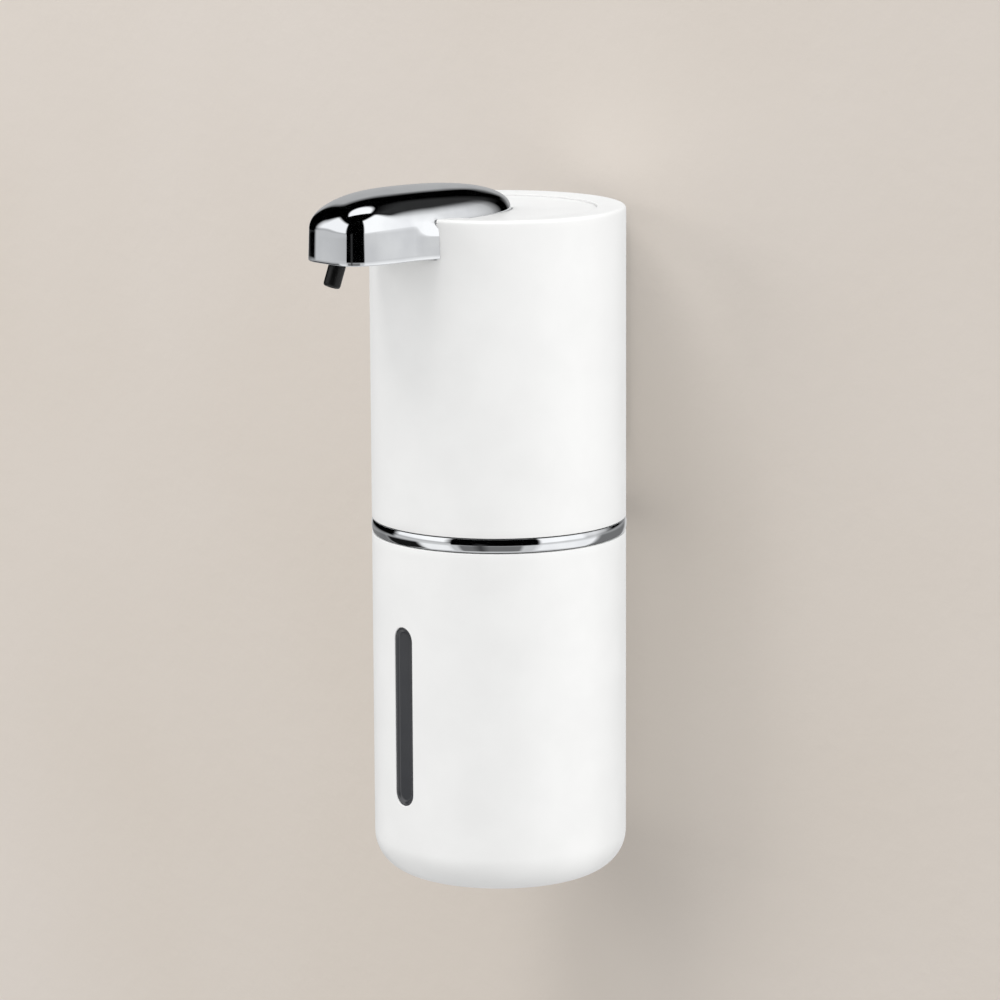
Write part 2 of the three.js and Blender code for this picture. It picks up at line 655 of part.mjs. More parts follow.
function pumpBody() {
  const footZ = BASE_PLATE.top + GAP;
  const feet = PUMP_BOLTS.map(([x, y]) => post(x, y, BOLT.boss, footZ, PUMP.bottom + 1));
  const [inX, inY] = INLET;
  let body = join(
    pumpBlock(PUMP.bottom, PUMP.top),
    ...feet,
    post(inX, inY, STUB_R, 98.9, PUMP.bottom + 1),
    post(inX, inY, SPIGOT_R, 90, 99.5),
    rod([inX, -15, OUTLET_Z], [inX, -17.3, OUTLET_Z], STUB_R),
    rod([inX, -16, OUTLET_Z], [inX, -21.5, OUTLET_Z], SPIGOT_R),
  );
  for (const [x, y] of [DRIVE_AXIS, DRIVEN_AXIS]) {
    body = body.subtract(post(x, y, GEAR_POCKET_R, PUMP.pocketFloor, PUMP.top + 5, 30));
    body = body.subtract(post(x, y, SHAFT_HOLE_R, 112.8, PUMP.top));
  }
  const inletWay = join(
    post(inX, inY, STUB_BORE, 80, PUMP.pocketFloor + 4),
    box(inX - STUB_BORE, inX + STUB_BORE, -4, inY + 0.4, PUMP.pocketFloor + GAP, PUMP.pocketFloor + 4),
  );
  const outletWay = rod([inX, -9, OUTLET_Z], [inX, -24, OUTLET_Z], STUB_BORE);
  return boltHoles(cut(body, inletWay, outletWay));
}
part('pump_body', pumpBody(), acetal);

function pumpCover() {
  const legs = PUMP_BOLTS.map(([x, y]) => post(x, y, 2.6, PUMP_COVER.top - 1, LEG_TOP));
  const block = join(pumpBlock(PUMP_COVER.bottom, PUMP_COVER.top), ...legs);
  const driveHole = post(...DRIVE_AXIS, SHAFT_HOLE_R, 120, 130);
  const drivenHole = post(...DRIVEN_AXIS, SHAFT_HOLE_R, 120, 125.2);
  return boltHoles(cut(block, driveHole, drivenHole));
}
part('pump_cover', pumpCover(), acetal);

part('shaft_seal', ring(4, SHAFT_HOLE_R, 126.3, 128.2, 20, ...DRIVE_AXIS), blackRubber);

function motorPlate() {
  const arms = PUMP_BOLTS.map((bolt) => capsule(bolt, MOTOR_AXIS, 3, MOTOR_PLATE.bottom, MOTOR_PLATE.top));
  const seat = post(...MOTOR_AXIS, 12, MOTOR_PLATE.bottom, MOTOR_PLATE.top, MEDIUM);
  return boltHoles(join(seat, ...arms).subtract(post(...MOTOR_AXIS, 3.5, 130, 140)));
}
part('motor_plate', motorPlate(), greyPlastic);

PUMP_BOLTS.forEach(([x, y], i) => {
  part(`pump_screw_${i + 1}`, screw(x, y, MOTOR_PLATE.top + 1.8, 101, BOLT.shank, 1.9, 1.5), steel);
});

// ---------- motor and gear train ----------
const MOTOR = { bottom: 137.3, top: 165, r: 12, shaftR: 0.95, terminals: 7.9 };

function motorCan() {
  const [x, y] = MOTOR_AXIS;
  const profile = [
    [0, MOTOR.bottom],
    [MOTOR.r, MOTOR.bottom],
    [MOTOR.r, MOTOR.top - 1.5],
    [MOTOR.r - 1.5, MOTOR.top],
    [4, MOTOR.top],
    [4, MOTOR.top + 1.4],
    [0, MOTOR.top + 1.4],
  ];
  const terminals = [-1, 1].map((side) => (
    box(-0.3, 0.3, -1.2, 1.2, -1, 3).translate([x + side * MOTOR.terminals, y, MOTOR.top])
  ));
  const can = turned(profile, MEDIUM, x, y).subtract(post(x, y, MOTOR.shaftR + GAP, 130, 150));
  return join(can, ...terminals);
}
part('motor', motorCan(), steel);
part('motor_shaft', post(...MOTOR_AXIS, MOTOR.shaftR, 128.3, 149.6), steel);

const pinionTurn = MOTOR_DIRECTION + 180 + 180 / PINION_TEETH;
part(
  'motor_pinion',
  gear(MOTOR_AXIS, PINION_TEETH, REDUCTION_MODULE, pinionTurn, MOTOR.shaftR + GAP, 128.6, 133.4),
  acetal,
);
part(
  'reduction_gear',
  gear(DRIVE_AXIS, WHEEL_TEETH, REDUCTION_MODULE, MOTOR_DIRECTION, SHAFT_HOLE_R, WHEEL.bottom, WHEEL.top),
  acetal,
);
part('drive_shaft', post(...DRIVE_AXIS, SHAFT_R, 113.2, 133.4), steel);
part('idler_shaft', post(...DRIVEN_AXIS, SHAFT_R, 113.2, 124.8), steel);

function pumpGear(axis, turnDeg) {
  return gear(axis, PUMP_TEETH, PUMP_MODULE, turnDeg, SHAFT_HOLE_R, PUMP.gearBottom, PUMP.gearTop);
}
part('pump_drive_gear', pumpGear(DRIVE_AXIS, 0), acetal);
part('pump_driven_gear', pumpGear(DRIVEN_AXIS, 180 + 180 / PUMP_TEETH), acetal);

// ---------- soap path ----------
const DIP_TUBE = { outer: 2.5, inner: 1.7, bottom: 8, top: 98.6 };
part(
  'dip_tube',
  ring(DIP_TUBE.outer, DIP_TUBE.inner, DIP_TUBE.bottom, DIP_TUBE.top, SMALL, ...INLET),
  clearTube,
);

function inletStrainer() {
  const [x, y] = INLET;
  const floor = 5.2;
  const outer = 3.7;
  const inner = DIP_TUBE.outer + GAP;
  const profile = [[0, floor], [outer, floor], [outer, 15], [inner, 15], [inner, floor + 1], [0, floor + 1]];
  const cup = turned(profile, 20, x, y);
  const slots = [0, 60, 120].map((angle) => (
    box(-6, 6, -0.5, 0.5, floor + 0.5, 7.5).rotate([0, 0, angle]).translate([x, y, 0])
  ));
  return cut(cup, ...slots);
}
part('inlet_strainer', inletStrainer(), greyPlastic);

const OUTLET_ROUTE = [
  [12, -17.6, 118],
  [12, -21.5, 118],
  [11.8, -26, 120.5],
  [11.4, -28.4, 127],
  [10.6, -28.8, 140],
  [9.2, -28.6, 160],
  [8, -27, 174],
  [7.8, -27.2, 180],
  [7.9, -30, 184.4],
  [8.1, -36, 186],
  [8.1, -44, 186.2],
  [7.4, -50, 187],
  [5.2, -54, 188.4],
  [2, -56.4, 188.6],
  [0.2, -56.7, 187],
  [0, -56.5, 184.6],
];
part('outlet_tube', tube(OUTLET_ROUTE, 2.3, 1.7, 8, 28), clearTube);

// ---------- power and control ----------
const cradleOpening = THREE.MathUtils.radToDeg(
  Math.atan2(PUMP_BOLTS[2][1] - CELL.y, PUMP_BOLTS[2][0] - CELL.x),
);

function batteryCradle() {
  const outer = CELL.r + 1.5;
  const floor = BASE_PLATE.top + GAP;
  const profile = [
    [0, floor],
    [outer, floor],
    [outer, 150],
    [CELL.r + GAP, 150],
    [CELL.r + GAP, CELL.bottom - GAP],
    [0, CELL.bottom - GAP],
  ];
  const opening = box(0, 14, -6.5, 6.5, floor - 1, 160).rotate([0, 0, cradleOpening]);
  return turned(profile, MEDIUM, CELL.x, CELL.y).subtract(opening.translate([CELL.x, CELL.y, 0]));
}
part('battery_cradle', batteryCradle(), blackPlastic);

function batteryCell() {
  const top = CELL.bottom + CELL.length;
  const profile = [
    [0, CELL.bottom],
    [CELL.r, CELL.bottom],
    [CELL.r, top - 1],
    [4, top - 1],
    [3.5, top],
    [0, top],
  ];
  return turned(profile, MEDIUM, CELL.x, CELL.y);
}
part('battery_cell', batteryCell(), cellWrap);

const ON_BOARD = BOARD.outer + GAP; // outer face of the board, where the socket and switch sit
part(
  'main_board',
  towardsBoard(box(BOARD.left, BOARD.right, BOARD.inner, BOARD.outer, BOARD.bottom, BOARD.top)),
  boardGreen,
);
part(
  'controller_chip',
  towardsBoard(box(0, 8, BOARD.inner - GAP - 1.3, BOARD.inner - GAP, 138, 146)),
  blackPlastic,
);

function usbSocket() {
  const { along, z } = PORT;
  const shell = box(along - 4.5, along + 4.5, ON_BOARD, 33.3, z - 1.7, z + 1.7);
  const mouth = box(along - 4.1, along + 4.1, ON_BOARD + 1.2, 34, z - 1.3, z + 1.3);
  const tongue = box(along - 3.2, along + 3.2, ON_BOARD + 1, 32.6, z - 0.35, z + 0.35);
  return towardsBoard(shell.subtract(mouth).add(tongue));
}
part('usb_socket', usbSocket(), steel);

function buttonSwitch() {
  const { along, z } = BUTTON;
  const body = box(along - 3, along + 3, ON_BOARD, ON_BOARD + 2.6, z - 3, z + 3);
  return towardsBoard(body.add(rod([along, ON_BOARD + 2, z], [along, 30.7, z], 1.5)));
}
part('button_switch', buttonSwitch(), blackPlastic);

function powerButton() {
  const { along, z, r, flange } = BUTTON;
  const cap = rod([along, 32, z], [along, BODY_R + 0.3, z], r, MEDIUM);
  const rim = rod([along, 31.8, z], [along, 32.7, z], r + flange, MEDIUM);
  return towardsBoard(cap.add(rim));
}
part('power_button', powerButton(), greyPlastic);

// The cover follows the body's curve and turns about a line near its upper edge.
function usbCover() {
  return towardsBoard(portZone(PORT_COVER, BODY_R, PORT_COVER.back));
}
part('usb_cover', usbCover(), blackRubber);

// A point near the board: along it, out from the body's axis, and up.
function boardPoint(along, out, z) {
  const turn = THREE.MathUtils.degToRad(BOARD_TURN);
  const x = along * Math.cos(turn) - out * Math.sin(turn);
  const y = along * Math.sin(turn) + out * Math.cos(turn);
  return [x, y, z];
}
const BESIDE_BOARD = BOARD.inner - 1;
const LEADS = {
  motor_lead: [
    boardPoint(9, BESIDE_BOARD, 152),
    boardPoint(9, BESIDE_BOARD - 4, 154),
    [-3, 17, 162],
    [1, 9, 170],
    [3.6, 5.2, 170.8],
    [4.1, 5, 168.6],
  ],
  battery_lead: [
    [CELL.x, CELL.y, 170.7],
    [CELL.x, CELL.y + 1, 174],
    [-20, -1, 174],
    boardPoint(-8, BESIDE_BOARD - 5, 166),
    boardPoint(-8, BESIDE_BOARD, 160),
  ],
  sensor_lead: [
    boardPoint(2, BESIDE_BOARD, 158),
    boardPoint(2, BESIDE_BOARD - 5, 162),
    [-9, 6, 170],
    [-3, -3, 176],
    [-1, -7, 181],
    [0, -12, 186],
    [0, -30, 188.2],
    [-1.5, -41, 188.6],
    [-2.5, -44.6, 187.4],
  ],
};
for (const [name, route] of Object.entries(LEADS)) {
  part(name, tube(route, 0.8, 0, 6, 20), redLead);
}

// ---------- bottle ----------
const BOTTLE_BASE = PAD_PROUD;
const PAD_R = 21;
const PAD_RECESS = 1.3;
const FLOOR_TOP = 3.6;
const FILLET_R = BODY_R - BASE_FILLET;

function bottleShell() {
  const inner = BODY_R - WALL;
  const filletTop = BOTTLE_BASE + BASE_FILLET;
  const innerFillet = BASE_FILLET - WALL;
  const profile = [
    [0, BOTTLE_BASE + PAD_RECESS],
    [PAD_R + GAP, BOTTLE_BASE + PAD_RECESS],
    [PAD_R + GAP, BOTTLE_BASE],
    ...arc(FILLET_R, filletTop, BASE_FILLET, -90, 0, 6),
    [BODY_R, BOTTLE_TOP],
    [inner, BOTTLE_TOP],
    ...arc(FILLET_R, FLOOR_TOP + innerFillet, innerFillet, 0, -90, 3),
    [0, FLOOR_TOP],
  ];
  const { halfWidth, bottom, top } = WINDOW;
  const opening = capsule([0, bottom + halfWidth], [0, top - halfWidth], halfWidth, 30, 40, 10);
  return turned(profile).subtract(opening.rotate([90, 0, 0]));
}
part('bottle_shell', bottleShell(), whiteAbs);

// The lens fills the window a little below the shell's surface, with a flange bonded behind it.
function windowLens() {
  const { halfWidth, bottom, top } = WINDOW;
  const plug = capsule(
    [0, bottom + halfWidth],
    [0, top - halfWidth],
    halfWidth - GAP,
    31.6,
    40,
    10,
  ).rotate([90, 0, 0]);
  const face = post(0, 0, BODY_R - WINDOW.sunk, 0, 100, LARGE * 2);
  const flange = box(-5.6, 5.6, -33.1, -31.6, bottom - 2.4, top + 2.4);
  return plug.intersect(face).add(flange);
}
part('window_lens', windowLens(), smokedPlastic);

function bottleCollar() {
  const outer = BODY_R - WALL - GAP;
  const bore = 31.3;
  const bottom = 86;
  const top = 98.1;
  return turned([
    [bore, bottom],
    [outer, bottom],
    [outer, top],
    [bore + 1, top],
    [bore, top - 1],
    [bore, bottom],
  ]);
}
part('bottle_collar', bottleCollar(), whiteAbs);

part('base_pad', post(0, 0, PAD_R, 0, BOTTLE_BASE + PAD_RECESS - GAP, LARGE), blackRubber);

export default model;
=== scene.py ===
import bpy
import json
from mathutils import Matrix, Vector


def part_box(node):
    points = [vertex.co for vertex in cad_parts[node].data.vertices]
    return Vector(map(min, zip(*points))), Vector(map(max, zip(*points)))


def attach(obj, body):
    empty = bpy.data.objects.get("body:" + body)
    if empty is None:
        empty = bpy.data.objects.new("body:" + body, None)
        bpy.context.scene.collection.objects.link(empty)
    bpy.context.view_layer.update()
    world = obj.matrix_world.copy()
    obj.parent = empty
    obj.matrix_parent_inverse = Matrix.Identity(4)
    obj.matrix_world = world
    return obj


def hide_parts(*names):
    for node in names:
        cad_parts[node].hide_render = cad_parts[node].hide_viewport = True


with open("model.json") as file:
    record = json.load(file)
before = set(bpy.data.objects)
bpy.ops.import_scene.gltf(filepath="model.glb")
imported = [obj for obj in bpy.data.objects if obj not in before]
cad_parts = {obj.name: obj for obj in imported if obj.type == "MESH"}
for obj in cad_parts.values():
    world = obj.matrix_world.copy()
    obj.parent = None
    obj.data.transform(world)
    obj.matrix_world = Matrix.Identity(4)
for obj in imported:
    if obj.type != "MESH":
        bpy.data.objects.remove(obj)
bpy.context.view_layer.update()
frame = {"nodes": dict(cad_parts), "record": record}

# Looks of the wall mounted soap dispenser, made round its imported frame.
# Lengths are millimetres from the foot of the round body's upright axis, with the spout along -Y and
# the wall at +Y. to_frame() turns them into the frame's metres.
import json
import math

import bmesh
import bpy
import numpy as np
from mathutils import Matrix, Vector

MM = 0.001
shell_low, shell_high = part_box("bottle_shell")
ORIGIN = np.array([
    (shell_low.x + shell_high.x) / 2,
    (shell_low.y + shell_high.y) / 2,
    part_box("base_pad")[0].z,
])


def to_frame(points):
    """Millimetres from the foot of the body's axis to metres in the frame."""
    return np.asarray(points) * MM + ORIGIN


def span(node):
    """Lowest and highest corner of a CAD node, in this script's millimetres."""
    low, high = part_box(node)
    return (np.array(low) - ORIGIN) / MM, (np.array(high) - ORIGIN) / MM


# ---------- sizes ----------
BODY_R = (shell_high.x - shell_low.x) / 2 / MM
WALL = 2.0
BOTTLE_BOTTOM, BOTTLE_TOP = span("bottle_shell")[0][2], span("bottle_shell")[1][2]
HEAD_BOTTOM, HEAD_TOP = span("head_shell")[0][2], span("head_shell")[1][2]
RING_BOTTOM, RING_TOP = span("chrome_ring")[0][2], span("chrome_ring")[1][2]
RING_R = span("chrome_ring")[1][0]
SPOUT_BOTTOM = span("spout_cover")[0][2]
TIP = -span("spout_cover")[0][1]
BASE_FILLET = 10.8
FOOT_RECESS_R = 21.3
FOOT_RECESS_DEPTH = 1.3
COLLAR_BORE = 31.3
RING_CROWN = 0.2
EDGE_R = 1.0
DISH_R = 28.0
RIM_DROP = 0.25
GAP = 0.3
MOULDED_EDGE = 0.4  # bevel along the free edges of bottle and head

# Spout: s runs from the body's axis towards the tip.
BELT = SPOUT_BOTTOM + 8.5
DOME = 10.56
HALF_WIDTH = 12.4
NOSE_LENGTH = 20.0
NOSE_POWER = 3.9
FULL_FROM = 33.5
REAR_LENGTH = 37.4
CREST = 36.4
FRONT_POWER = 2.46
REAR_POWER = 2.56
CROSS_POWER = 2.25
DRAFT = 0.3
SPOUT_WALL = 1.4
SPOUT_CLEARANCE = 0.35  # between the spout and the head round it
# Where the sides spread on to the round body: how far, and over what length.
FLARE = 1.55
FLARE_LENGTH = 7.5
FLARE_FADES = BELT - 1.2
ROOT_S = math.sqrt(BODY_R**2 - (HALF_WIDTH + FLARE) ** 2)
NOZZLE_S = 56.4
NOZZLE_R = 2.38
NOZZLE_BORE = 1.2
NOZZLE_LENGTH = 10.3
NOZZLE_START = 183.1
NOZZLE_TILT = math.radians(21)
FLANGE_R = 3.0

# The button and the charging port face 40 degrees round from the wall.
BOARD_TURN = math.radians(40)
PORT_ALONG = -2.0
PORT_Z = 128.0
POCKET_Z = PORT_Z + 0.35
PORT_POCKET = (5.9, 4.75)  # half width and half height
PORT_COVER = (5.5, 4.25)
PORT_COVER_BACK = 35.1
PORT_PLATE_R = 34.8
PORT_OPENING = (4.7, 1.9)
BUTTON_Z = 150.0
BUTTON_R = 4.7
BUTTON_OUT = 36.3
# Their direction round the body, from the spout.
PORT_TURN = BOARD_TURN - math.pi - PORT_ALONG / BODY_R


# ---------- mesh tools ----------
def quads(rows, columns, wrap_rows=False, wrap_columns=False):
    """Four-sided faces of a grid, which face outwards where columns go round and rows go up."""
    index = np.arange(rows * columns).reshape(rows, columns)
    if wrap_rows:
        index = np.vstack([index, index[:1]])
    if wrap_columns:
        index = np.hstack([index, index[:, :1]])
    corners = [index[:-1, :-1], index[:-1, 1:], index[1:, 1:], index[1:, :-1]]
    return np.stack(corners, axis=-1)


def spaced(*marks):
    """Values from the first mark to the last: each mark is (value, step up to the next mark)."""
    runs = []
    for (start, step), (end, _) in zip(marks[:-1], marks[1:]):
        count = max(1, round((end - start) / step))
        runs.append(np.linspace(start, end, count, endpoint=False))
    return np.concatenate([*runs, [marks[-1][0]]])


def arc(centre, radius, start, end, steps):
    """Points of an arc in the plane of (radius, height), by angle in degrees from the radius axis."""
    angle = np.radians(np.linspace(start, end, steps + 1))
    return np.stack([centre[0] + radius * np.cos(angle), centre[1] + radius * np.sin(angle)], axis=1)


def eased_line(corners, steps=4):
    """A line through (radius, height, ease) corners, each corner with an ease replaced by a curve.

    The curve is the quadratic one that leaves the corner's two sides at a distance of ease from it.
    """
    points = []
    share = np.linspace(0, 1, steps + 1)[:, None]
    for i, (r, z, ease) in enumerate(corners):
        here = np.array([r, z])
        if ease == 0 or i in (0, len(corners) - 1):
            points.append(here[None])
            continue
        before = np.array(corners[i - 1][:2]) - here
        after = np.array(corners[i + 1][:2]) - here
        start = here + before / np.linalg.norm(before) * ease
        end = here + after / np.linalg.norm(after) * ease
        points.append((1 - share) ** 2 * start + 2 * share * (1 - share) * here + share**2 * end)
    return np.concatenate(points)


def on_body(r, angle, height):
    """Points at a radius, a direction from the spout and a height: x = r sin a, y = -r cos a."""
    across = r * np.sin(angle)
    return np.stack([across, -r * np.cos(angle), height + 0 * across], axis=-1)


def round_line(profile, start, direction, columns=40, lobes=None):
    """A (radius, distance) line carried round a slanting axis, from start along direction.

    lobes holds 0 or 1 for each point of the line. Where it is 1 the radius is scaled by
    (|cos a|^p + |sin a|^p)^(-1/p) with p = 0.6, which draws a four-armed star.
    """
    axis = np.asarray(direction, float) / np.linalg.norm(direction)
    side = np.cross(axis, [0.0, 0.0, 1.0])
    if np.linalg.norm(side) < 1e-6:
        side = np.array([1.0, 0.0, 0.0])
    side = side / np.linalg.norm(side)
    other = np.cross(axis, side)
    angle = np.linspace(0, 2 * math.pi, columns, endpoint=False)
    r = profile[:, :1] + 0 * angle
    if lobes is not None:
        power = 0.6
        star = (np.abs(np.cos(angle)) ** power + np.abs(np.sin(angle)) ** power) ** (-1 / power)
        r = np.where(np.asarray(lobes)[:, None] > 0, r * star, r)
    across = r * np.cos(angle)
    up = r * np.sin(angle)
    along = profile[:, 1:] + 0 * angle
    out = across[..., None] * side + up[..., None] * other
    return np.asarray(start) + along[..., None] * axis + out


def grid(points, wrap_rows=False, wrap_columns=False, keep=None):
    """A grid of points with its faces; keep is a mask of the faces to leave in."""
    faces = quads(points.shape[0], points.shape[1], wrap_rows, wrap_columns)
    if keep is not None:
        faces = faces[keep]
    return points.reshape(-1, 3), faces.reshape(-1, 4)


def closed_round(profile, columns=160):
    """A ring or disc from a line that ends where it starts, or on the axis at both ends."""
    is_loop = bool(np.allclose(profile[0], profile[-1]))
    line = profile[:-1] if is_loop else profile
    angle = np.linspace(0, 2 * math.pi, columns, endpoint=False)
    return grid(on_body(line[:, :1], angle, line[:, 1:]), wrap_rows=is_loop, wrap_columns=True)


def weld(mesh, outward):
    """Joins points that lie together, drops faces with no area and turns faces outwards."""
    form = bmesh.new()
    form.from_mesh(mesh)
    bmesh.ops.remove_doubles(form, verts=form.verts, dist=2e-6)
    bmesh.ops.dissolve_degenerate(form, edges=form.edges, dist=1e-7)
    loose = [v for v in form.verts if not v.link_faces]
    bmesh.ops.delete(form, geom=loose, context="VERTS")
    if outward:
        bmesh.ops.recalc_face_normals(form, faces=form.faces)
    form.to_mesh(mesh)
    form.free()


def settle(piece, sharp_deg):
    """Applies the piece's modifiers, and shades it smooth except at edges over sharp_deg."""
    bpy.context.view_layer.update()
    ready = piece.evaluated_get(bpy.context.evaluated_depsgraph_get())
    mesh = bpy.data.meshes.new_from_object(ready)
    piece.modifiers.clear()
    piece.data = mesh
    mesh.shade_smooth()
    mesh.set_sharp_from_angle(angle=math.radians(sharp_deg))


def bevel(piece, width, segments=3, angle_deg=35):
    """Rounds the edges that are sharper than the angle."""
    modifier = piece.modifiers.new("eased_edges", "BEVEL")
    modifier.width = width * MM
    modifier.segments = segments
    modifier.limit_method = "ANGLE"
    modifier.angle_limit = math.radians(angle_deg)
    modifier.use_clamp_overlap = True


def dress(piece, material, body, nodes):
    """Gives a piece its finish, the body that it rides on and the CAD nodes that it stands for."""
    piece.data.materials.clear()
    piece.data.materials.append(material)
    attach(piece, body)
    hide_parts(*nodes)


def make(name, grids, material, body, nodes=(), wall=0.0, edge=0.0, sharp_deg=38):
    """A piece from grids in millimetres. With wall it is a skin that gets that thickness inwards."""
    offset = 0
    points = []
    faces = []
    for grid_points, grid_faces in grids:
        points.append(grid_points)
        faces.append(grid_faces + offset)
        offset += len(grid_points)
    mesh = bpy.data.meshes.new(name)
    mesh.from_pydata(to_frame(np.concatenate(points)), [], np.concatenate(faces))
    weld(mesh, outward=wall == 0)
    piece = bpy.data.objects.new(name, mesh)
    bpy.context.scene.collection.objects.link(piece)
    if wall:
        thick = piece.modifiers.new("moulded_wall", "SOLIDIFY")
        thick.thickness = wall * MM
        thick.offset = -1
        thick.use_even_offset = True
    if edge:
        bevel(piece, edge)
    settle(piece, sharp_deg)
    dress(piece, material, body, nodes)
    return piece


def eased(node, name, material, body, edge=0.25, segments=2):
    """A copy of a CAD node whose edges are eased, for pieces whose flat-sided form is right."""
    source = frame["nodes"][node]
    mesh = source.data.copy()
    mesh.name = name
    weld(mesh, outward=False)
    piece = bpy.data.objects.new(name, mesh)
    bpy.context.scene.collection.objects.link(piece)
    flat = piece.modifiers.new("joined_flats", "DECIMATE")
    flat.decimate_type = "DISSOLVE"
    flat.angle_limit = math.radians(1)
    bevel(piece, edge, segments, angle_deg=30)
    settle(piece, 30)
    dress(piece, material, body, [node])
    return piece


# ---------- materials ----------
def colour(hex_code):
    """An sRGB hex value as linear red, green, blue and alpha."""
    parts = [int(hex_code[i:i + 2], 16) / 255 for i in (1, 3, 5)]
    linear = [c / 12.92 if c <= 0.04045 else ((c + 0.055) / 1.055) ** 2.4 for c in parts]
    return (*linear, 1.0)


def add(tree, kind, inputs=None, **settings):
    """Adds a node with its settings; an input is given a value, or linked where it is a socket."""
    made = tree.nodes.new(kind)
    for name, value in settings.items():
        setattr(made, name, value)
    for name, value in (inputs or {}).items():
        if isinstance(value, bpy.types.NodeSocket):
            tree.links.new(value, made.inputs[name])
        else:
            made.inputs[name].default_value = value
    return made


def start_material(name):
    """A new material with no nodes but its Object coordinates."""
    material = bpy.data.materials.new(name)
    material.use_nodes = True
    tree = material.node_tree
    tree.nodes.clear()
    place = add(tree, "ShaderNodeTexCoord").outputs["Object"]
    return material, tree, place


def end_material(tree, shader):
    add(tree, "ShaderNodeOutputMaterial", {"Surface": shader.outputs["BSDF"]})


def noise(tree, place, size_mm, detail=3.0, roughness=0.5):
    """Noise whose lumps are about size_mm across."""
    inputs = {"Vector": place, "Scale": 1 / (size_mm * MM), "Detail": detail, "Roughness": roughness}
    return add(tree, "ShaderNodeTexNoise", inputs).outputs["Fac"]


def between(tree, amount, low, high, start=0.35, end=0.65):
    """Maps amount from start..end to low..high."""
    inputs = {"Value": amount, "From Min": start, "From Max": end, "To Min": low, "To Max": high}
    return add(tree, "ShaderNodeMapRange", inputs).outputs["Result"]


def blend_colours(tree, amount, first, second):
    made = add(tree, "ShaderNodeMix", data_type="RGBA")
    made.inputs[6].default_value = colour(first)
    made.inputs[7].default_value = colour(second)
    tree.links.new(amount, made.inputs[0])
    return made.outputs[2]


def bumps(tree, height, depth_mm):
    inputs = {"Height": height, "Distance": depth_mm * MM, "Strength": 1.0}
    return add(tree, "ShaderNodeBump", inputs).outputs["Normal"]


def moulded(name, first, second, roughness, grain_mm, depth_mm, mottle_mm=14, ior=1.5):
    """An injection moulded or rubbery finish: faint uneven tone and gloss, with a fine grain."""
    material, tree, place = start_material(name)
    tone = between(tree, noise(tree, place, mottle_mm, 4), 0, 1)
    grain = noise(tree, place, grain_mm, 2)
    gloss = between(tree, noise(tree, place, mottle_mm / 4, 5), roughness - 0.04, roughness + 0.05)
    shader = add(tree, "ShaderNodeBsdfPrincipled", {
        "Base Color": blend_colours(tree, tone, first, second),
        "Roughness": gloss,
        "IOR": ior,
        "Normal": bumps(tree, grain, depth_mm),
    })
    end_material(tree, shader)
    return material


def chrome_plating():
    """Bright chromium over moulded ABS: mirror smooth, with a very long, shallow mould ripple."""
    material, tree, place = start_material("chrome_plated_abs")
    tone = between(tree, noise(tree, place, 9, 2), 0, 1)
    gloss = between(tree, noise(tree, place, 3, 6), 0.03, 0.06)
    shader = add(tree, "ShaderNodeBsdfPrincipled", {
        "Base Color": blend_colours(tree, tone, "#E3E5E7", "#DADCDF"),
        "Metallic": 1.0,
        "Roughness": gloss,
        "Normal": bumps(tree, noise(tree, place, 16, 1), 0.012),
    })
    end_material(tree, shader)
    return material


def turned_steel():
    """Zinc-plated steel with fine tool marks, drawn coarser than the real 0.05 mm ones."""
    material, tree, place = start_material("zinc_plated_steel")
    stretch = add(tree, "ShaderNodeMapping", {"Vector": place, "Scale": (1.0, 1.0, 9.0)})
    marks = noise(tree, stretch.outputs["Vector"], 1.2, 4)
    shader = add(tree, "ShaderNodeBsdfPrincipled", {
        "Base Color": blend_colours(tree, marks, "#C3C5C8", "#A4A6A9"),
        "Metallic": 1.0,
        "Roughness": between(tree, marks, 0.24, 0.38),
        "Normal": bumps(tree, marks, 0.01),
    })
    end_material(tree, shader)
    return material


def smoked_polycarbonate():
    """Grey tinted, moulded polycarbonate: glossy and nearly opaque, with soft depth in its tone."""
    material, tree, place = start_material("smoked_polycarbonate")
    tone = between(tree, noise(tree, place, 20, 2), 0, 1)
    shader = add(tree, "ShaderNodeBsdfPrincipled", {
        "Base Color": blend_colours(tree, tone, "#37383B", "#3C3D40"),
        "Roughness": between(tree, noise(tree, place, 5, 4), 0.16, 0.22),
        "IOR": 1.585,
    })
    end_material(tree, shader)
    return material


def circuit_board():
    """Glass-epoxy board under green solder mask, with copper tracks showing faintly through it."""
    material, tree, place = start_material("solder_masked_board")
    bricks = add(tree, "ShaderNodeTexBrick", {
        "Vector": place,
        "Scale": 1 / (7.0 * MM),
        "Mortar Size": 0.03,
        "Color1": colour("#1C6B43"),
        "Color2": colour("#1F7349"),
        "Mortar": colour("#3E9A6A"),
    })
    raised = between(tree, bricks.outputs["Fac"], 0, 1, 0, 1)
    shader = add(tree, "ShaderNodeBsdfPrincipled", {
        "Base Color": bricks.outputs["Color"],
        "Roughness": between(tree, noise(tree, place, 2, 3), 0.25, 0.4),
        "Normal": bumps(tree, raised, 0.03),
    })
    end_material(tree, shader)
    return material


def clear_tubing():
    """Extruded silicone tube: milky and half clear."""
    material, tree, place = start_material("extruded_silicone")
    haze = between(tree, noise(tree, place, 6, 3), 0, 1)
    shader = add(tree, "ShaderNodeBsdfPrincipled", {
        "Base Color": blend_colours(tree, haze, "#E7ECEC", "#D8DEDF"),
        "Roughness": between(tree, haze, 0.2, 0.32, 0, 1),
        "IOR": 1.41,
        "Transmission Weight": 0.45,
    })
    end_material(tree, shader)
    return material


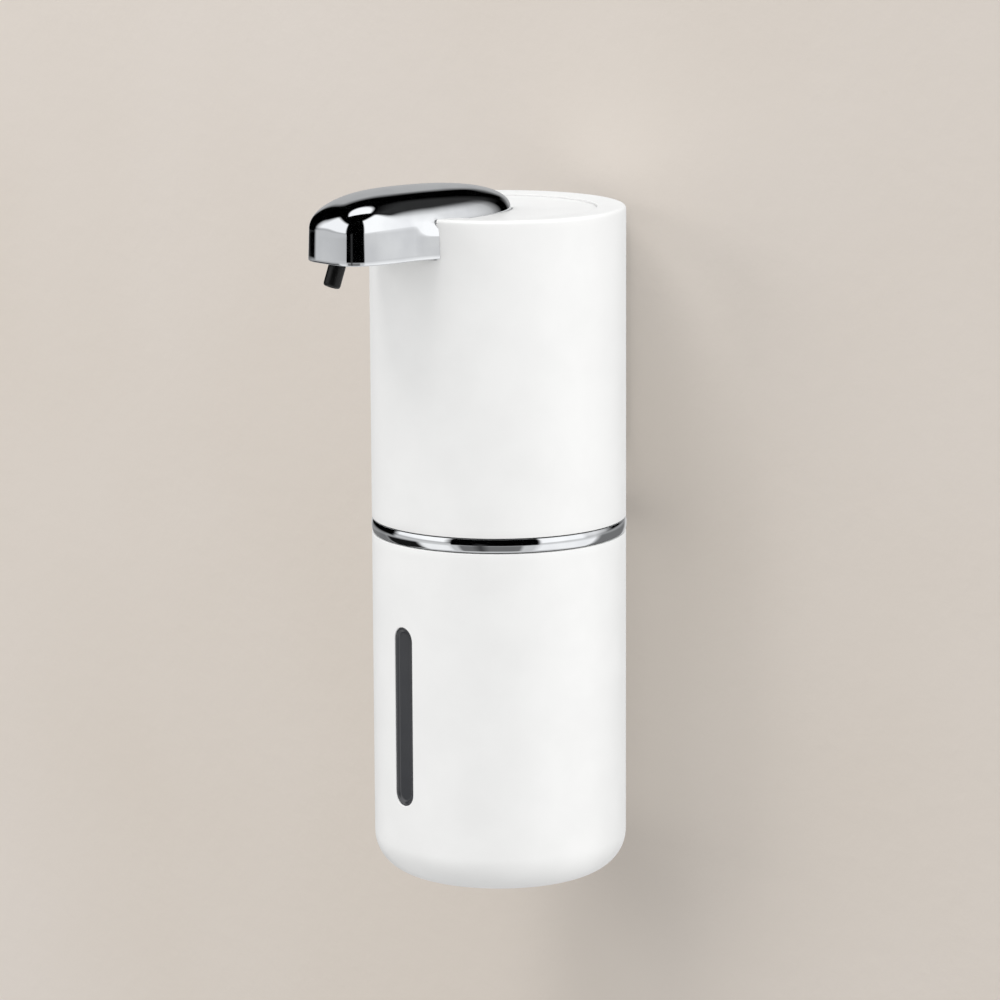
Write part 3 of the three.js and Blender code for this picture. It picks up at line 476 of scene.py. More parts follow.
def painted_plaster(name, first, second):
    """Matt wall paint with a faint roller texture. It shows only from its front."""
    material, tree, place = start_material(name)
    cloud = between(tree, noise(tree, place, 260, 3), 0, 1)
    stipple = noise(tree, place, 7, 4)
    paint = add(tree, "ShaderNodeBsdfPrincipled", {
        "Base Color": blend_colours(tree, cloud, first, second),
        "Roughness": 0.9,
        "Normal": bumps(tree, stipple, 0.25),
    })
    clear = add(tree, "ShaderNodeBsdfTransparent")
    facing = add(tree, "ShaderNodeNewGeometry").outputs["Backfacing"]
    sides = {0: facing, 1: paint.outputs[0], 2: clear.outputs[0]}
    one_sided = add(tree, "ShaderNodeMixShader", sides)
    add(tree, "ShaderNodeOutputMaterial", {"Surface": one_sided.outputs[0]})
    return material


# Injection moulded ABS from a fine satin tool: bright white, soft highlights.
WHITE_ABS = moulded("satin_moulded_abs", "#F4F4F3", "#F1F1F0", 0.34, 0.5, 0.004)
# Spark-eroded ABS: even grey, dull.
GREY_ABS = moulded("grey_textured_abs", "#8B8E92", "#84878B", 0.5, 0.35, 0.012)
CHROME = chrome_plating()
# Moulded silicone rubber: near black, with a soft sheen on its edges.
RUBBER = moulded("moulded_silicone_rubber", "#070707", "#0B0B0B", 0.4, 0.6, 0.008, ior=1.35)
SMOKED = smoked_polycarbonate()
# Acetal gears and pump body: ivory, slightly waxy.
ACETAL = moulded("moulded_acetal", "#ECEAE2", "#E4E1D6", 0.4, 0.4, 0.006, ior=1.48)
BLACK_PLASTIC = moulded("black_moulded_nylon", "#1B1C1E", "#232427", 0.42, 0.4, 0.01)
# Closed-cell acrylic foam tape with its cells showing.
FOAM = moulded("acrylic_foam_tape", "#E2E0DA", "#D2CFC7", 0.85, 0.9, 0.05, mottle_mm=4)
CELL_WRAP = moulded("shrunk_pvc_wrap", "#2A78B0", "#2E82BC", 0.3, 1.4, 0.02, mottle_mm=8)
LEAD = moulded("pvc_wire_jacket", "#A3262A", "#952125", 0.4, 0.5, 0.006)
STEEL = turned_steel()
BOARD = circuit_board()
TUBING = clear_tubing()


# ---------- spout form ----------
def rounded_share(share, power):
    """A superellipse's height at a share of its span: (1 - share^p)^(1/p)."""
    return np.clip(1 - np.clip(share, 0, 1) ** power, 0, 1) ** (1 / power)


def spout_half(s, inset=0.0):
    """Half the spout's width at the belt: a half ellipse behind, then straight, then a squared nose."""
    width = HALF_WIDTH - inset
    rear = rounded_share((FULL_FROM - s) / (REAR_LENGTH - inset), 2)
    nose_start = TIP - NOSE_LENGTH
    nose = rounded_share((s - nose_start) / (NOSE_LENGTH - inset), NOSE_POWER)
    return width * np.where(s < FULL_FROM, rear, np.where(s > nose_start, nose, 1))


def spout_rise(s, inset=0.0):
    """Height of the ridge over the belt: superellipses on both sides of the crest."""
    front = rounded_share((s - CREST) / (TIP - inset - CREST), FRONT_POWER)
    rear = rounded_share((CREST - s) / (CREST - FULL_FROM + REAR_LENGTH - inset), REAR_POWER)
    return (DOME - inset) * np.where(s > CREST, front, rear)


def spout_outline(inset=0.0, count=170):
    """Evenly spaced points (s, half width) of one side in plan, rear to tip, and their normals."""
    start = FULL_FROM - REAR_LENGTH + inset
    dense = start + (TIP - inset - start) * (1 - np.cos(np.linspace(0, math.pi, 20001))) / 2
    half = spout_half(dense, inset)
    steps = np.hypot(np.diff(dense), np.diff(half))
    length = np.concatenate([[0], np.cumsum(steps)])
    even = np.linspace(0, length[-1], count)
    s = np.interp(even, length, dense)
    w = np.interp(even, length, half)
    ahead = np.stack([np.gradient(s), np.gradient(w)], axis=1)
    ahead /= np.linalg.norm(ahead, axis=1)[:, None]
    normal = np.stack([-ahead[:, 1], ahead[:, 0]], axis=1)
    normal[0] = (-1, 0)
    normal[-1] = (1, 0)
    return s, w, normal


def root_flare(s, height):
    """How far the sides spread where they meet the round body: 1.55 t^1.6 mm, with t from 0 to 1.

    From just under the belt it fades out with a smooth step, 1 - (3u^2 - 2u^3), up to the body's rim.
    """
    share = np.clip((ROOT_S + FLARE_LENGTH - s) / FLARE_LENGTH, 0, 1)
    behind = np.clip((s - ROOT_S) / 0.6 + 1, 0, 1)
    u = np.clip((height - FLARE_FADES) / (HEAD_TOP - FLARE_FADES), 0, 1)
    return FLARE * share**1.6 * behind * (1 - (3 * u**2 - 2 * u**3))


def spout_skin(inset, side_heights, side_offsets, dome_steps, flared=False):
    """Sections across the spout: up one side, over the dome and down the other.

    A side point is the outline moved along its normal by the offset for its height. A dome point is at
    w = half cos a, with a height of the ridge times (1 - |cos a|^p)^(1/p).
    """
    s, w, normal = spout_outline(inset)
    heights = np.asarray(side_heights)
    offsets = np.asarray(side_offsets)
    side_s = s[:, None] + normal[:, :1] * offsets
    side_w = np.maximum(w[:, None] + normal[:, 1:] * offsets, 0)
    side_z = heights + 0 * side_s
    across = np.cos(np.linspace(0, math.pi, dome_steps + 1))[1:-1]
    dome_w = w[:, None] * across
    dome_z = BELT + spout_rise(s, inset)[:, None] * rounded_share(np.abs(across), CROSS_POWER)
    dome_s = s[:, None] + 0 * across
    if flared:
        side_w = side_w + root_flare(side_s, side_z)
        dome_w = dome_w + root_flare(dome_s, dome_z) * np.sign(across)
    x = np.hstack([side_w, dome_w, -side_w[:, ::-1]])
    y = -np.hstack([side_s, dome_s, side_s[:, ::-1]])
    z = np.hstack([side_z, dome_z, side_z[:, ::-1]])
    return np.stack([x, y, z], axis=-1)


def spout_cover():
    """Plated outer skin, a plain inner skin, and the rounded rim that joins them at the bottom."""
    lip = 0.45
    dome_steps = 56
    turn = np.linspace(0, math.pi / 2, 5)
    rise = np.linspace(SPOUT_BOTTOM + lip, BELT, 8)[1:]
    heights = [*(SPOUT_BOTTOM + lip * (1 - np.cos(turn))), *rise]
    drafted = DRAFT * (BELT - np.asarray(heights)) / (BELT - SPOUT_BOTTOM)
    rounding = [*(lip * (np.sin(turn) - 1)), *(0 * rise)]
    outer = spout_skin(0.0, heights, drafted + rounding, dome_steps, flared=True)
    inner = spout_skin(SPOUT_WALL, [SPOUT_BOTTOM + 0.02, BELT - 3, BELT], [0, 0, 0], 20)
    loop = np.concatenate([outer, inner[:, ::-1]], axis=1)
    make("chrome_spout", [grid(loop, wrap_columns=True)], CHROME, "head",
         ["spout_cover"], sharp_deg=50)


def cut_radius(angle, height):
    """Distance from the body's axis to the spout's cut-out at a height, in each direction.

    At height z the dome is half (1 - ((z - belt) / ridge)^p)^(1/p) wide on each side.
    """
    s, w, _ = spout_outline(-SPOUT_CLEARANCE, 400)
    ridge = np.maximum(spout_rise(s, -SPOUT_CLEARANCE), 1e-6)
    wide = w * rounded_share((height - BELT) / ridge, CROSS_POWER)
    inside = (height - BELT) < ridge
    direction = np.arctan2(wide[inside], s[inside])
    distance = np.hypot(wide[inside], s[inside])
    order = np.argsort(direction)
    return np.interp(np.abs(angle), direction[order], distance[order])


# ---------- holes in round walls ----------
def rectangle_edge(across, up):
    """The points round a rectangle of grid lines, anticlockwise from its lower left corner."""
    bottom = np.stack([across, 0 * across + up[0]], axis=1)[:-1]
    right = np.stack([0 * up + across[-1], up], axis=1)[:-1]
    top = np.stack([across[::-1], 0 * across + up[-1]], axis=1)[:-1]
    left = np.stack([0 * up + across[0], up[::-1]], axis=1)[:-1]
    return np.concatenate([bottom, right, top, left])


def long_hole(points, radius, half_straight):
    """Moves points to a round-ended slot: each goes to the nearest end centre's circle or side."""
    middle = np.clip(points[:, 1], -half_straight, half_straight)
    away = np.stack([points[:, 0], points[:, 1] - middle], axis=1)
    length = np.linalg.norm(away, axis=1)[:, None]
    beside = np.stack([np.sign(points[:, 0]) * radius, middle], axis=1)
    beyond = np.stack([0 * middle, middle], axis=1) + away / length * radius
    return np.where((np.abs(points[:, 1]) > half_straight)[:, None], beyond, beside)


def squared_hole(points, half_across, half_up, power=7.0):
    """Moves points to a rounded rectangle, the curve |x/a|^p + |y/b|^p = 1, along their directions."""
    x = points[:, 0] / half_across
    y = points[:, 1] / half_up
    size = (np.abs(x) ** power + np.abs(y) ** power) ** (1 / power)
    return points / size[:, None]


def on_wall(points, radius, turn, height):
    """Points (along the wall, up) as places on the round wall, turned and raised."""
    angle = turn + points[..., 0] / BODY_R
    return on_body(radius, angle, height + points[..., 1])


def holed_patch(across, up, turn, height, outline, radius=BODY_R, rows=7):
    """The stretch of round wall between a rectangle of grid lines and a hole's outline."""
    edge = rectangle_edge(across, up)
    share = (np.linspace(0, 1, rows) ** 1.4)[:, None, None]
    points = outline(edge) * (1 - share) + edge * share
    return grid(on_wall(points, radius, turn, height)[::-1], wrap_columns=True)


# ---------- bottle ----------
WINDOW_LOW, WINDOW_HIGH = 23.8, 75.2
WINDOW_R = 3.7
WINDOW_Z = (WINDOW_LOW + WINDOW_HIGH) / 2
WINDOW_STRAIGHT = (WINDOW_HIGH - WINDOW_LOW) / 2 - WINDOW_R


def bottle_shell():
    """White bottle: a round wall with a big fillet to its base, and the level window's slot.

    The wall is a grid with a stretch left out round the window, which a patch with the slot fills.
    """
    patch_across = math.degrees((WINDOW_R + 2.6) / BODY_R)
    patch_low = WINDOW_LOW - 4
    patch_high = WINDOW_HIGH + 4
    degrees = spaced((-180, 2.5), (-patch_across, 1.0), (patch_across, 2.5), (180, 1))
    angle = np.radians(degrees[:-1])
    fillet_z = BOTTLE_BOTTOM + BASE_FILLET
    wall_z = spaced((fillet_z, 2.2), (patch_low, 1.1), (patch_high, 2.2), (BOTTLE_TOP, 1))
    recess_z = BOTTLE_BOTTOM + FOOT_RECESS_DEPTH
    recess = [[0, recess_z], [FOOT_RECESS_R, recess_z], [FOOT_RECESS_R, BOTTLE_BOTTOM]]
    foot = arc((BODY_R - BASE_FILLET, fillet_z), BASE_FILLET, -90, 0, 20)[:-1]
    wall = np.stack([0 * wall_z + BODY_R, wall_z], axis=1)
    profile = np.concatenate([recess, foot, wall])
    points = on_body(profile[:, :1], angle, profile[:, 1:])
    middle_z = (profile[:-1, 1] + profile[1:, 1]) / 2
    middle_a = (degrees[:-1] + degrees[1:]) / 2
    in_height = (middle_z > patch_low) & (middle_z < patch_high)
    keep = ~(in_height[:, None] & (np.abs(middle_a) < patch_across))
    inside = np.abs(degrees) <= patch_across + 1e-6
    across = np.radians(degrees[inside]) * BODY_R
    up = wall_z[(wall_z >= patch_low - 1e-6) & (wall_z <= patch_high + 1e-6)] - WINDOW_Z
    slot = holed_patch(across, up, 0.0, WINDOW_Z, lambda p: long_hole(p, WINDOW_R, WINDOW_STRAIGHT))
    shell = grid(points, wrap_columns=True, keep=keep)
    make("bottle_body", [shell, slot], WHITE_ABS, "bottle", ["bottle_shell"],
         wall=WALL, edge=MOULDED_EDGE)


def level_window():
    """Tinted lens, with a flat face sunk inside a sloping border.

    Lines run from its long middle out to its round-ended outline. The face's depth follows a smooth
    step, 3t^2 - 2t^3, from the floor of the border to its top.
    """
    radius = WINDOW_R - 0.06
    border = 0.6  # share of the way out where the border starts to rise
    face_depth, top_depth, edge_depth, back_depth = 0.75, 0.15, 0.3, 2.6
    turn = np.linspace(-math.pi / 2, math.pi / 2, 25)
    side = np.linspace(-WINDOW_STRAIGHT, WINDOW_STRAIGHT, 40)
    ends = np.concatenate([0 * turn + WINDOW_STRAIGHT, 0 * turn - WINDOW_STRAIGHT])
    around_ends = np.concatenate([turn + math.pi / 2, turn - math.pi / 2])
    caps = np.stack([radius * np.cos(around_ends), ends + radius * np.sin(around_ends)], axis=1)
    right = np.stack([0 * side + radius, side], axis=1)[1:-1]
    left = np.stack([0 * side - radius, side[::-1]], axis=1)[1:-1]
    outline = np.concatenate([caps[len(turn):], right, caps[:len(turn)], left])
    middle_z = np.clip(outline[:, 1], -WINDOW_STRAIGHT, WINDOW_STRAIGHT)
    middle = np.stack([0 * middle_z, middle_z], axis=1)
    share = np.concatenate([[0, 0.3, 0.55], np.linspace(border, 0.9, 7), [0.96, 1]])
    step = np.clip((share - border) / 0.32, 0, 1)
    depth = face_depth - (face_depth - top_depth) * (3 * step**2 - 2 * step**3)
    depth[-1] = edge_depth
    front = middle + share[:, None, None] * (outline - middle)
    flat = np.concatenate([front, outline[None], middle[None]])
    radii = BODY_R - np.concatenate([depth, [back_depth, back_depth]])
    rows = on_wall(flat, radii[:, None], 0.0, WINDOW_Z)
    make("level_window", [grid(rows, wrap_columns=True)], SMOKED,
         "bottle", ["window_lens"], sharp_deg=50)


def bottle_collar():
    """Ring in the bottle's mouth, with an eased top edge that the seal slides past."""
    low, high = span("bottle_collar")
    bore = COLLAR_BORE
    outer = high[0]
    seam = 92
    line = eased_line([
        (bore, seam, 0), (bore, low[2], 0.5), (outer, low[2], 0.5), (outer, high[2], 0.4),
        (bore, high[2], 1.2), (bore, seam, 0),
    ])
    make("mouth_collar", [closed_round(line)], WHITE_ABS, "bottle", ["bottle_collar"])


def foot_pad():
    """Rubber foot: a disc with an eased edge and shallow rings pressed into its underside."""
    low, high = span("base_pad")
    outer = high[0]
    first_ring, last_ring, pitch = 3, 17, 3.5
    rings = np.linspace(first_ring, last_ring, 57)
    depth = 0.12 * (1 - np.cos(2 * math.pi * (rings - first_ring) / pitch))
    underside = np.stack([rings, low[2] + depth], axis=1)
    top = high[2]
    edge = eased_line([
        (last_ring + 0.5, low[2], 0), (outer, low[2], 0.5), (outer, top, 0.2), (0, top, 0),
    ])
    line = np.concatenate([[[0, low[2]]], underside, edge])
    make("rubber_foot", [closed_round(line)], RUBBER, "bottle", ["base_pad"])


# ---------- head ----------
def head_shell():
    """White head: round wall with an eased top edge and a rim that ends at the dish or the spout.

    The rim's inner end is at the dish radius, or at the spout's cut-out where that is further out.
    The wall is a grid with stretches left out for the spout and round the port's pocket and the
    button's hole, which two patches fill.
    """
    notch = math.degrees(math.asin((HALF_WIDTH + 0.65) / BODY_R))
    notch_z = SPOUT_BOTTOM - SPOUT_CLEARANCE
    port_turn = math.degrees(PORT_TURN)
    reach = math.degrees(8.6 / BODY_R)
    degrees = spaced(
        (-180, 2.5), (port_turn - reach, 1.3), (port_turn + reach, 2.5), (-notch, 1.5), (0, 1.5),
        (notch, 2.5), (180, 1),
    )
    angle = np.radians(degrees[:-1])
    port_low, port_high = PORT_Z - 7.2, PORT_Z + 7.6
    button_low, button_high = BUTTON_Z - 8.6, BUTTON_Z + 8.6
    wall_z = spaced(
        (HEAD_BOTTOM, 2.2), (port_low, 1.2), (port_high, 1.7), (button_low, 1.3), (button_high, 2.2),
        (notch_z, 1.5), (HEAD_TOP - EDGE_R, 1),
    )
    edge = arc((BODY_R - EDGE_R, HEAD_TOP - EDGE_R), EDGE_R, 0, 90, 6)[1:]
    outer = np.concatenate([np.stack([0 * wall_z + BODY_R, wall_z], axis=1), edge])
    r_outer = outer[:, :1] + 0 * angle
    z_outer = outer[:, 1:] + 0 * angle
    inner_end = np.maximum(DISH_R, cut_radius(angle, HEAD_TOP))
    rim_rows = 7
    share = np.linspace(0, 1, rim_rows + 1)[1:, None]
    r_rim = (BODY_R - EDGE_R) * (1 - share) + inner_end * share
    r_rim = np.minimum(r_rim, BODY_R - EDGE_R)
    z_rim = HEAD_TOP - RIM_DROP * (BODY_R - EDGE_R - r_rim) / (BODY_R - EDGE_R - DISH_R)
    r = np.concatenate([r_outer, r_rim])
    z = np.concatenate([z_outer, z_rim])
    points = on_body(r, angle, z)
    rows = np.concatenate([outer[:, 1], np.full(rim_rows, HEAD_TOP + 1)])
    middle_z = (rows[:-1] + rows[1:]) / 2
    middle_a = (degrees[:-1] + degrees[1:]) / 2
    keep = ~((middle_z > notch_z)[:, None] & (np.abs(middle_a) < notch))
    by_port = np.abs(middle_a - port_turn) < reach
    patches = []
    button_hole = BUTTON_R + GAP
    for low, high, height, outline in (
        (port_low, port_high, POCKET_Z, lambda p: squared_hole(p, *PORT_POCKET)),
        (button_low, button_high, BUTTON_Z, lambda p: squared_hole(p, button_hole, button_hole, 2)),
    ):
        keep &= ~(((middle_z > low) & (middle_z < high))[:, None] & by_port)
        inside = np.abs(degrees - port_turn) <= reach + 1e-6
        across = np.radians(degrees[inside] - port_turn) * BODY_R
        up = wall_z[(wall_z >= low - 1e-6) & (wall_z <= high + 1e-6)] - height
        patches.append(holed_patch(across, up, PORT_TURN, height, outline))
    shell = grid(points, wrap_columns=True, keep=keep)
    make("head_body", [shell, *patches], WHITE_ABS, "head", ["head_shell"],
         wall=WALL, edge=MOULDED_EDGE)


def top_panel():
    """Dished top: from its round edge in to the spout's cut-out, where the cut-out is inside it."""
    low, high = span("top_panel")
    outer = DISH_R - GAP
    degrees = spaced((20, 1.0), (340, 1))
    angle = np.radians(degrees)
    inner = np.minimum(cut_radius(np.minimum(angle, 2 * math.pi - angle), high[2]), outer)
    share = np.linspace(0, 1, 12)[:, None]
    r = outer * (1 - share) + inner * share
    is_wide = (outer - inner) > 0.4
    keep = np.broadcast_to(is_wide[:-1] & is_wide[1:], (len(share) - 1, len(angle) - 1))
    dish = grid(on_body(r, angle, high[2]), keep=keep)
    make("top_dish", [dish], WHITE_ABS, "head", ["top_panel"],
         wall=high[2] - low[2], edge=0.25)


def trim_ring():
    """Chrome ring: a shallow crown between two eased edges."""
    inner = BODY_R - WALL
    flat_r, corner_r = RING_R - 0.6, RING_R - 0.3
    rise = np.linspace(0, 1, 13)
    height = RING_BOTTOM + 0.35 + (RING_TOP - RING_BOTTOM - 0.7) * rise
    crown = RING_R - RING_CROWN * (2 * rise - 1) ** 2
    face = np.stack([crown, height], axis=1)
    lower = [[inner, RING_BOTTOM], [flat_r, RING_BOTTOM], [corner_r, RING_BOTTOM + 0.1]]
    upper = [[corner_r, RING_TOP - 0.1], [flat_r, RING_TOP], [inner, RING_TOP]]
    line = np.concatenate([lower, face, upper, lower[:1]])
    make("trim_ring", [closed_round(line, 240)], CHROME, "head", ["chrome_ring"])


def bottle_seal():
    """O-ring: a round section carried round the skirt's groove."""
    low, high = span("bottle_seal")
    section_r = (high[2] - low[2]) / 2
    line = arc((high[0] - section_r, (low[2] + high[2]) / 2), section_r, 0, 360, 20)
    make("mouth_seal", [closed_round(line)], RUBBER, "head", ["bottle_seal"])


# ---------- small pieces ----------
def nozzle():
    """Rubber outlet: a flange in the spout and a slanting tube with a rounded lip and an open bore."""
    start = np.array([0, -NOZZLE_S, NOZZLE_START])
    down = np.array([0, -math.sin(NOZZLE_TILT), -math.cos(NOZZLE_TILT)])
    head = -0.2
    line = eased_line([
        (NOZZLE_BORE, head, 0), (NOZZLE_R, head, 0.2), (NOZZLE_R, NOZZLE_LENGTH, 0.9),
        (NOZZLE_BORE, NOZZLE_LENGTH, 0.3), (NOZZLE_BORE, head, 0),
    ], 5)
    tube = grid(round_line(line[:-1], start, down, 48), wrap_rows=True, wrap_columns=True)
    middle = np.array([0, -NOZZLE_S - 0.1, span("nozzle")[1][2]])
    rim = NOZZLE_R + 0.04
    collar = eased_line([
        (rim, 0.0, 0), (FLANGE_R, 0.0, 0.2), (FLANGE_R, 1.0, 0.2), (rim, 1.0, 0), (rim, 0.0, 0),
    ])
    upright = (0, 0, -1)
    flange = grid(round_line(collar[:-1], middle, upright, 48), wrap_rows=True, wrap_columns=True)
    make("rubber_nozzle", [tube, flange], RUBBER, "head", ["nozzle"], sharp_deg=50)


def facing_port(along, out, height):
    """A point by the button and port: along the wall there, out from the axis, and up."""
    return np.array([
        along * math.cos(BOARD_TURN) - out * math.sin(BOARD_TURN),
        along * math.sin(BOARD_TURN) + out * math.cos(BOARD_TURN),
        height,
    ])


def power_button():
    """Round button with a shallow dished face and the flange that keeps it in its hole."""
    inward = -facing_port(0, 1, 0)
    dish_r = 3.4
    flange_r = BUTTON_R + 0.9
    flange_front, flange_back = 3.6, 4.5
    dish = np.linspace(0, dish_r, 9)
    face = np.stack([dish, 0.4 - 0.25 * (dish / dish_r) ** 2], axis=1)
    edge = eased_line([
        (dish_r, 0.15, 0), (BUTTON_R, 0.0, 0.6), (BUTTON_R, flange_front, 0),
        (flange_r, flange_front, 0.15), (flange_r, flange_back, 0.15), (0, flange_back, 0),
    ])
    line = np.concatenate([face, edge[1:]])
    start = facing_port(PORT_ALONG, BUTTON_OUT, BUTTON_Z)
    disc = grid(round_line(line, start, inward, 64), wrap_columns=True)
    make("power_key", [disc], GREY_ABS, "button", ["power_button"])


def port_pieces():
    """The rubber cover over the charging port, and the plate behind it with the socket's opening.

    The cover's face drops by 0.35 t^8 mm to its edge, and a rounded bump is its finger lip.
    """
    angle = np.linspace(0, 2 * math.pi, 96, endpoint=False)
    circle = np.stack([np.cos(angle), np.sin(angle)], axis=1)
    outline = squared_hole(circle, *PORT_COVER, 6)
    share = np.sin(np.linspace(0, math.pi / 2, 12))[:, None, None]
    face = outline * share
    lip = 0.5 * np.exp(-(face[..., 0] / 2.4) ** 2 - ((face[..., 1] + 3.2) / 0.8) ** 2)
    out = BODY_R - 0.1 - 0.35 * share[..., 0] ** 8 + lip
    flat = np.concatenate([face, outline[None], 0 * outline[None]])
    back = np.full((2, len(outline)), PORT_COVER_BACK)
    cover = on_wall(flat, np.concatenate([out, back]), PORT_TURN, PORT_Z + 0.15)
    make("port_cover", [grid(cover, wrap_columns=True)], RUBBER, "usb_flap",
         ["usb_cover"])
    reach, rise = np.array(PORT_POCKET) - 0.05
    plate = holed_patch(np.linspace(-reach, reach, 19), np.linspace(-rise, rise, 15), PORT_TURN, POCKET_Z,
                        lambda p: squared_hole(p, *PORT_OPENING, 3), radius=PORT_PLATE_R, rows=4)
    make("port_surround", [plate], WHITE_ABS, "head", wall=0.8, edge=0.15)


def screw(node, head_at, direction, shank_r, head_r, head_height, length):
    """Pan head screw: a domed head with a cross recess, and a shank with a rolled thread.

    The thread is a row of ridges, its radius swinging by a tenth of the shank's along it.
    """
    pitch = 0.5
    reach = np.linspace(head_height, length - shank_r, 90)
    thread = shank_r - 0.1 * shank_r * (1 + np.cos(2 * math.pi * reach / pitch)) / 2
    line = np.concatenate([
        [[0, head_height * 0.55], [head_r * 0.4, head_height * 0.5], [head_r * 0.62, 0.06]],
        [[head_r * 0.78, 0.08], [head_r * 0.93, head_height * 0.3], [head_r, head_height * 0.7]],
        [[head_r, head_height], [shank_r, head_height]],
        np.stack([thread, reach], axis=1),
        [[0, length]],
    ])
    lobes = np.zeros(len(line))
    lobes[1:3] = 1
    form = grid(round_line(line, head_at, direction, 32, lobes), wrap_columns=True)
    name = node.replace("_screw_", "_bolt_")
    make(name, [form], STEEL, "head", [node], sharp_deg=35)


def screws():
    """Each screw stands where its CAD node does, with its head at one end of that node's box."""
    for node in sorted(n for n in frame["nodes"] if "_screw_" in n):
        low, high = span(node)
        x, y, z = (low + high) / 2
        if node.startswith("hanger"):
            start, direction = (x, high[1], z), (0, -1, 0)
            length, head_r, shank_r, head_height = high[1] - low[1], 2.3, 1.1, 1.0
        elif node.startswith("pump"):
            start, direction = (x, y, high[2]), (0, 0, -1)
            length, head_r, shank_r, head_height = high[2] - low[2], 1.9, 1.0, 1.5
        else:
            start, direction = (x, y, low[2]), (0, 0, 1)
            length, head_r, shank_r, head_height = high[2] - low[2], 2.0, 1.0, 1.0
        screw(node, start, direction, shank_r, head_r, head_height, length)


def dip_tube():
    """Straight tube from the pump down to the strainer."""
    low, high = span("dip_tube")
    x, y = ((low + high) / 2)[:2]
    bore, outer = 1.7, 2.5
    seam = 50
    line = eased_line([
        (bore, seam, 0), (bore, high[2], 0.1), (outer, high[2], 0.2), (outer, low[2], 0.2),
        (bore, low[2], 0.1), (bore, seam, 0),
    ])
    line[:, 1] = high[2] - line[:, 1]
    start = (x, y, high[2])
    form = grid(round_line(line[:-1], start, (0, 0, -1), 40), wrap_rows=True, wrap_columns=True)
    make("soap_tube", [form], TUBING, "head", ["dip_tube"])


bottle_shell()
level_window()
bottle_collar()
foot_pad()
head_shell()
top_panel()
trim_ring()
bottle_seal()
spout_cover()
nozzle()
power_button()
port_pieces()
screws()
dip_tube()

# ---------- CAD forms with eased edges ----------
EASED = {
    "wall_bracket": ("bracket_plate", GREY_ABS, "grey_abs", "bracket", 0.3),
    "adhesive_pad": ("foam_pad", FOAM, "foam_tape", "bracket", 0.2),
    "hanger_plate": ("hanger", WHITE_ABS, "white_abs", "head", 0.3),
    "head_base": ("chassis", GREY_ABS, "grey_abs", "head", 0.15),
    "spout_base": ("spout_floor", WHITE_ABS, "white_abs", "head", 0.12),
    "sensor_window": ("sensor_lens", SMOKED, "smoked_plastic", "head", 0.2),
    "inlet_strainer": ("strainer", GREY_ABS, "grey_abs", "head", 0.1),
}
for node, (name, material, slot, body, edge) in EASED.items():
    eased(node, name, material, body, edge)

# ---------- finishes of the CAD nodes that show as they are ----------
SLOT_FINISH = {
    "acetal": ACETAL,
    "black_plastic": BLACK_PLASTIC,
    "black_rubber": RUBBER,
    "cell_wrap": CELL_WRAP,
    "chrome_plate": CHROME,
    "circuit_board": BOARD,
    "clear_plastic": TUBING,
    "foam_tape": FOAM,
    "grey_abs": GREY_ABS,
    "lead_wire": LEAD,
    "smoked_plastic": SMOKED,
    "steel": STEEL,
    "white_abs": WHITE_ABS,
}
for part in frame["record"]["subparts"]:
    mesh = frame["nodes"][part["node"]].data
    mesh.materials.clear()
    mesh.materials.append(SLOT_FINISH[part["material_slot"]])


# ---------- camera ----------
LENS = 158.28
SENSOR_WIDTH = 36
AZIMUTH = math.radians(48.8)  # round from the spout's direction
PITCH = math.radians(10.9)
ROLL = math.radians(-0.283)
DISTANCE = 1245.4
AIM_HEIGHT = 106.82
AIM_ASIDE = 0.32


def place_camera():
    data = bpy.data.cameras.new("camera")
    data.lens = LENS
    data.sensor_width = SENSOR_WIDTH
    camera = bpy.data.objects.new("camera", data)
    bpy.context.scene.collection.objects.link(camera)
    back = np.array([
        math.sin(AZIMUTH) * math.cos(PITCH),
        -math.cos(AZIMUTH) * math.cos(PITCH),
        math.sin(PITCH),
    ])
    right = np.array([math.cos(AZIMUTH), math.sin(AZIMUTH), 0])
    aim = right * AIM_ASIDE + np.array([0, 0, AIM_HEIGHT])
    camera.location = to_frame(aim + back * DISTANCE)
    camera.rotation_mode = "XYZ"
    camera.rotation_euler = (math.pi / 2 - PITCH, 0, AZIMUTH)
    bpy.context.view_layer.update()
    turned = camera.rotation_euler.to_matrix() @ Matrix.Rotation(ROLL, 3, "Z")
    camera.rotation_euler = turned.to_euler("XYZ")
    bpy.context.scene.camera = camera


place_camera()


# ---------- room ----------
def room_plane(name, corners, material):
    """A backdrop that catches shadows but throws no light or shadow on the object."""
    mesh = bpy.data.meshes.new(name)
    mesh.from_pydata(corners, [], [(0, 1, 2, 3)])
    mesh.materials.append(material)
    plane = bpy.data.objects.new(name, mesh)
    bpy.context.scene.collection.objects.link(plane)
    plane.visible_glossy = False
    plane.visible_diffuse = False
    plane.visible_shadow = False


FLOOR_Z = -0.5
ROOM = 3.0
WALL_CORNERS = [(-ROOM, 0, FLOOR_Z), (ROOM, 0, FLOOR_Z), (ROOM, 0, ROOM), (-ROOM, 0, ROOM)]
FLOOR_CORNERS = [(x * ROOM, y * ROOM, FLOOR_Z) for x, y in ((-1, -1), (1, -1), (1, 1), (-1, 1))]
room_plane("wall", WALL_CORNERS, painted_plaster("warm_wall_paint", "#D7CFC7", "#D2C9BF"))
room_plane("floor", FLOOR_CORNERS, painted_plaster("pale_floor", "#DDD8D2", "#DBD6CF"))


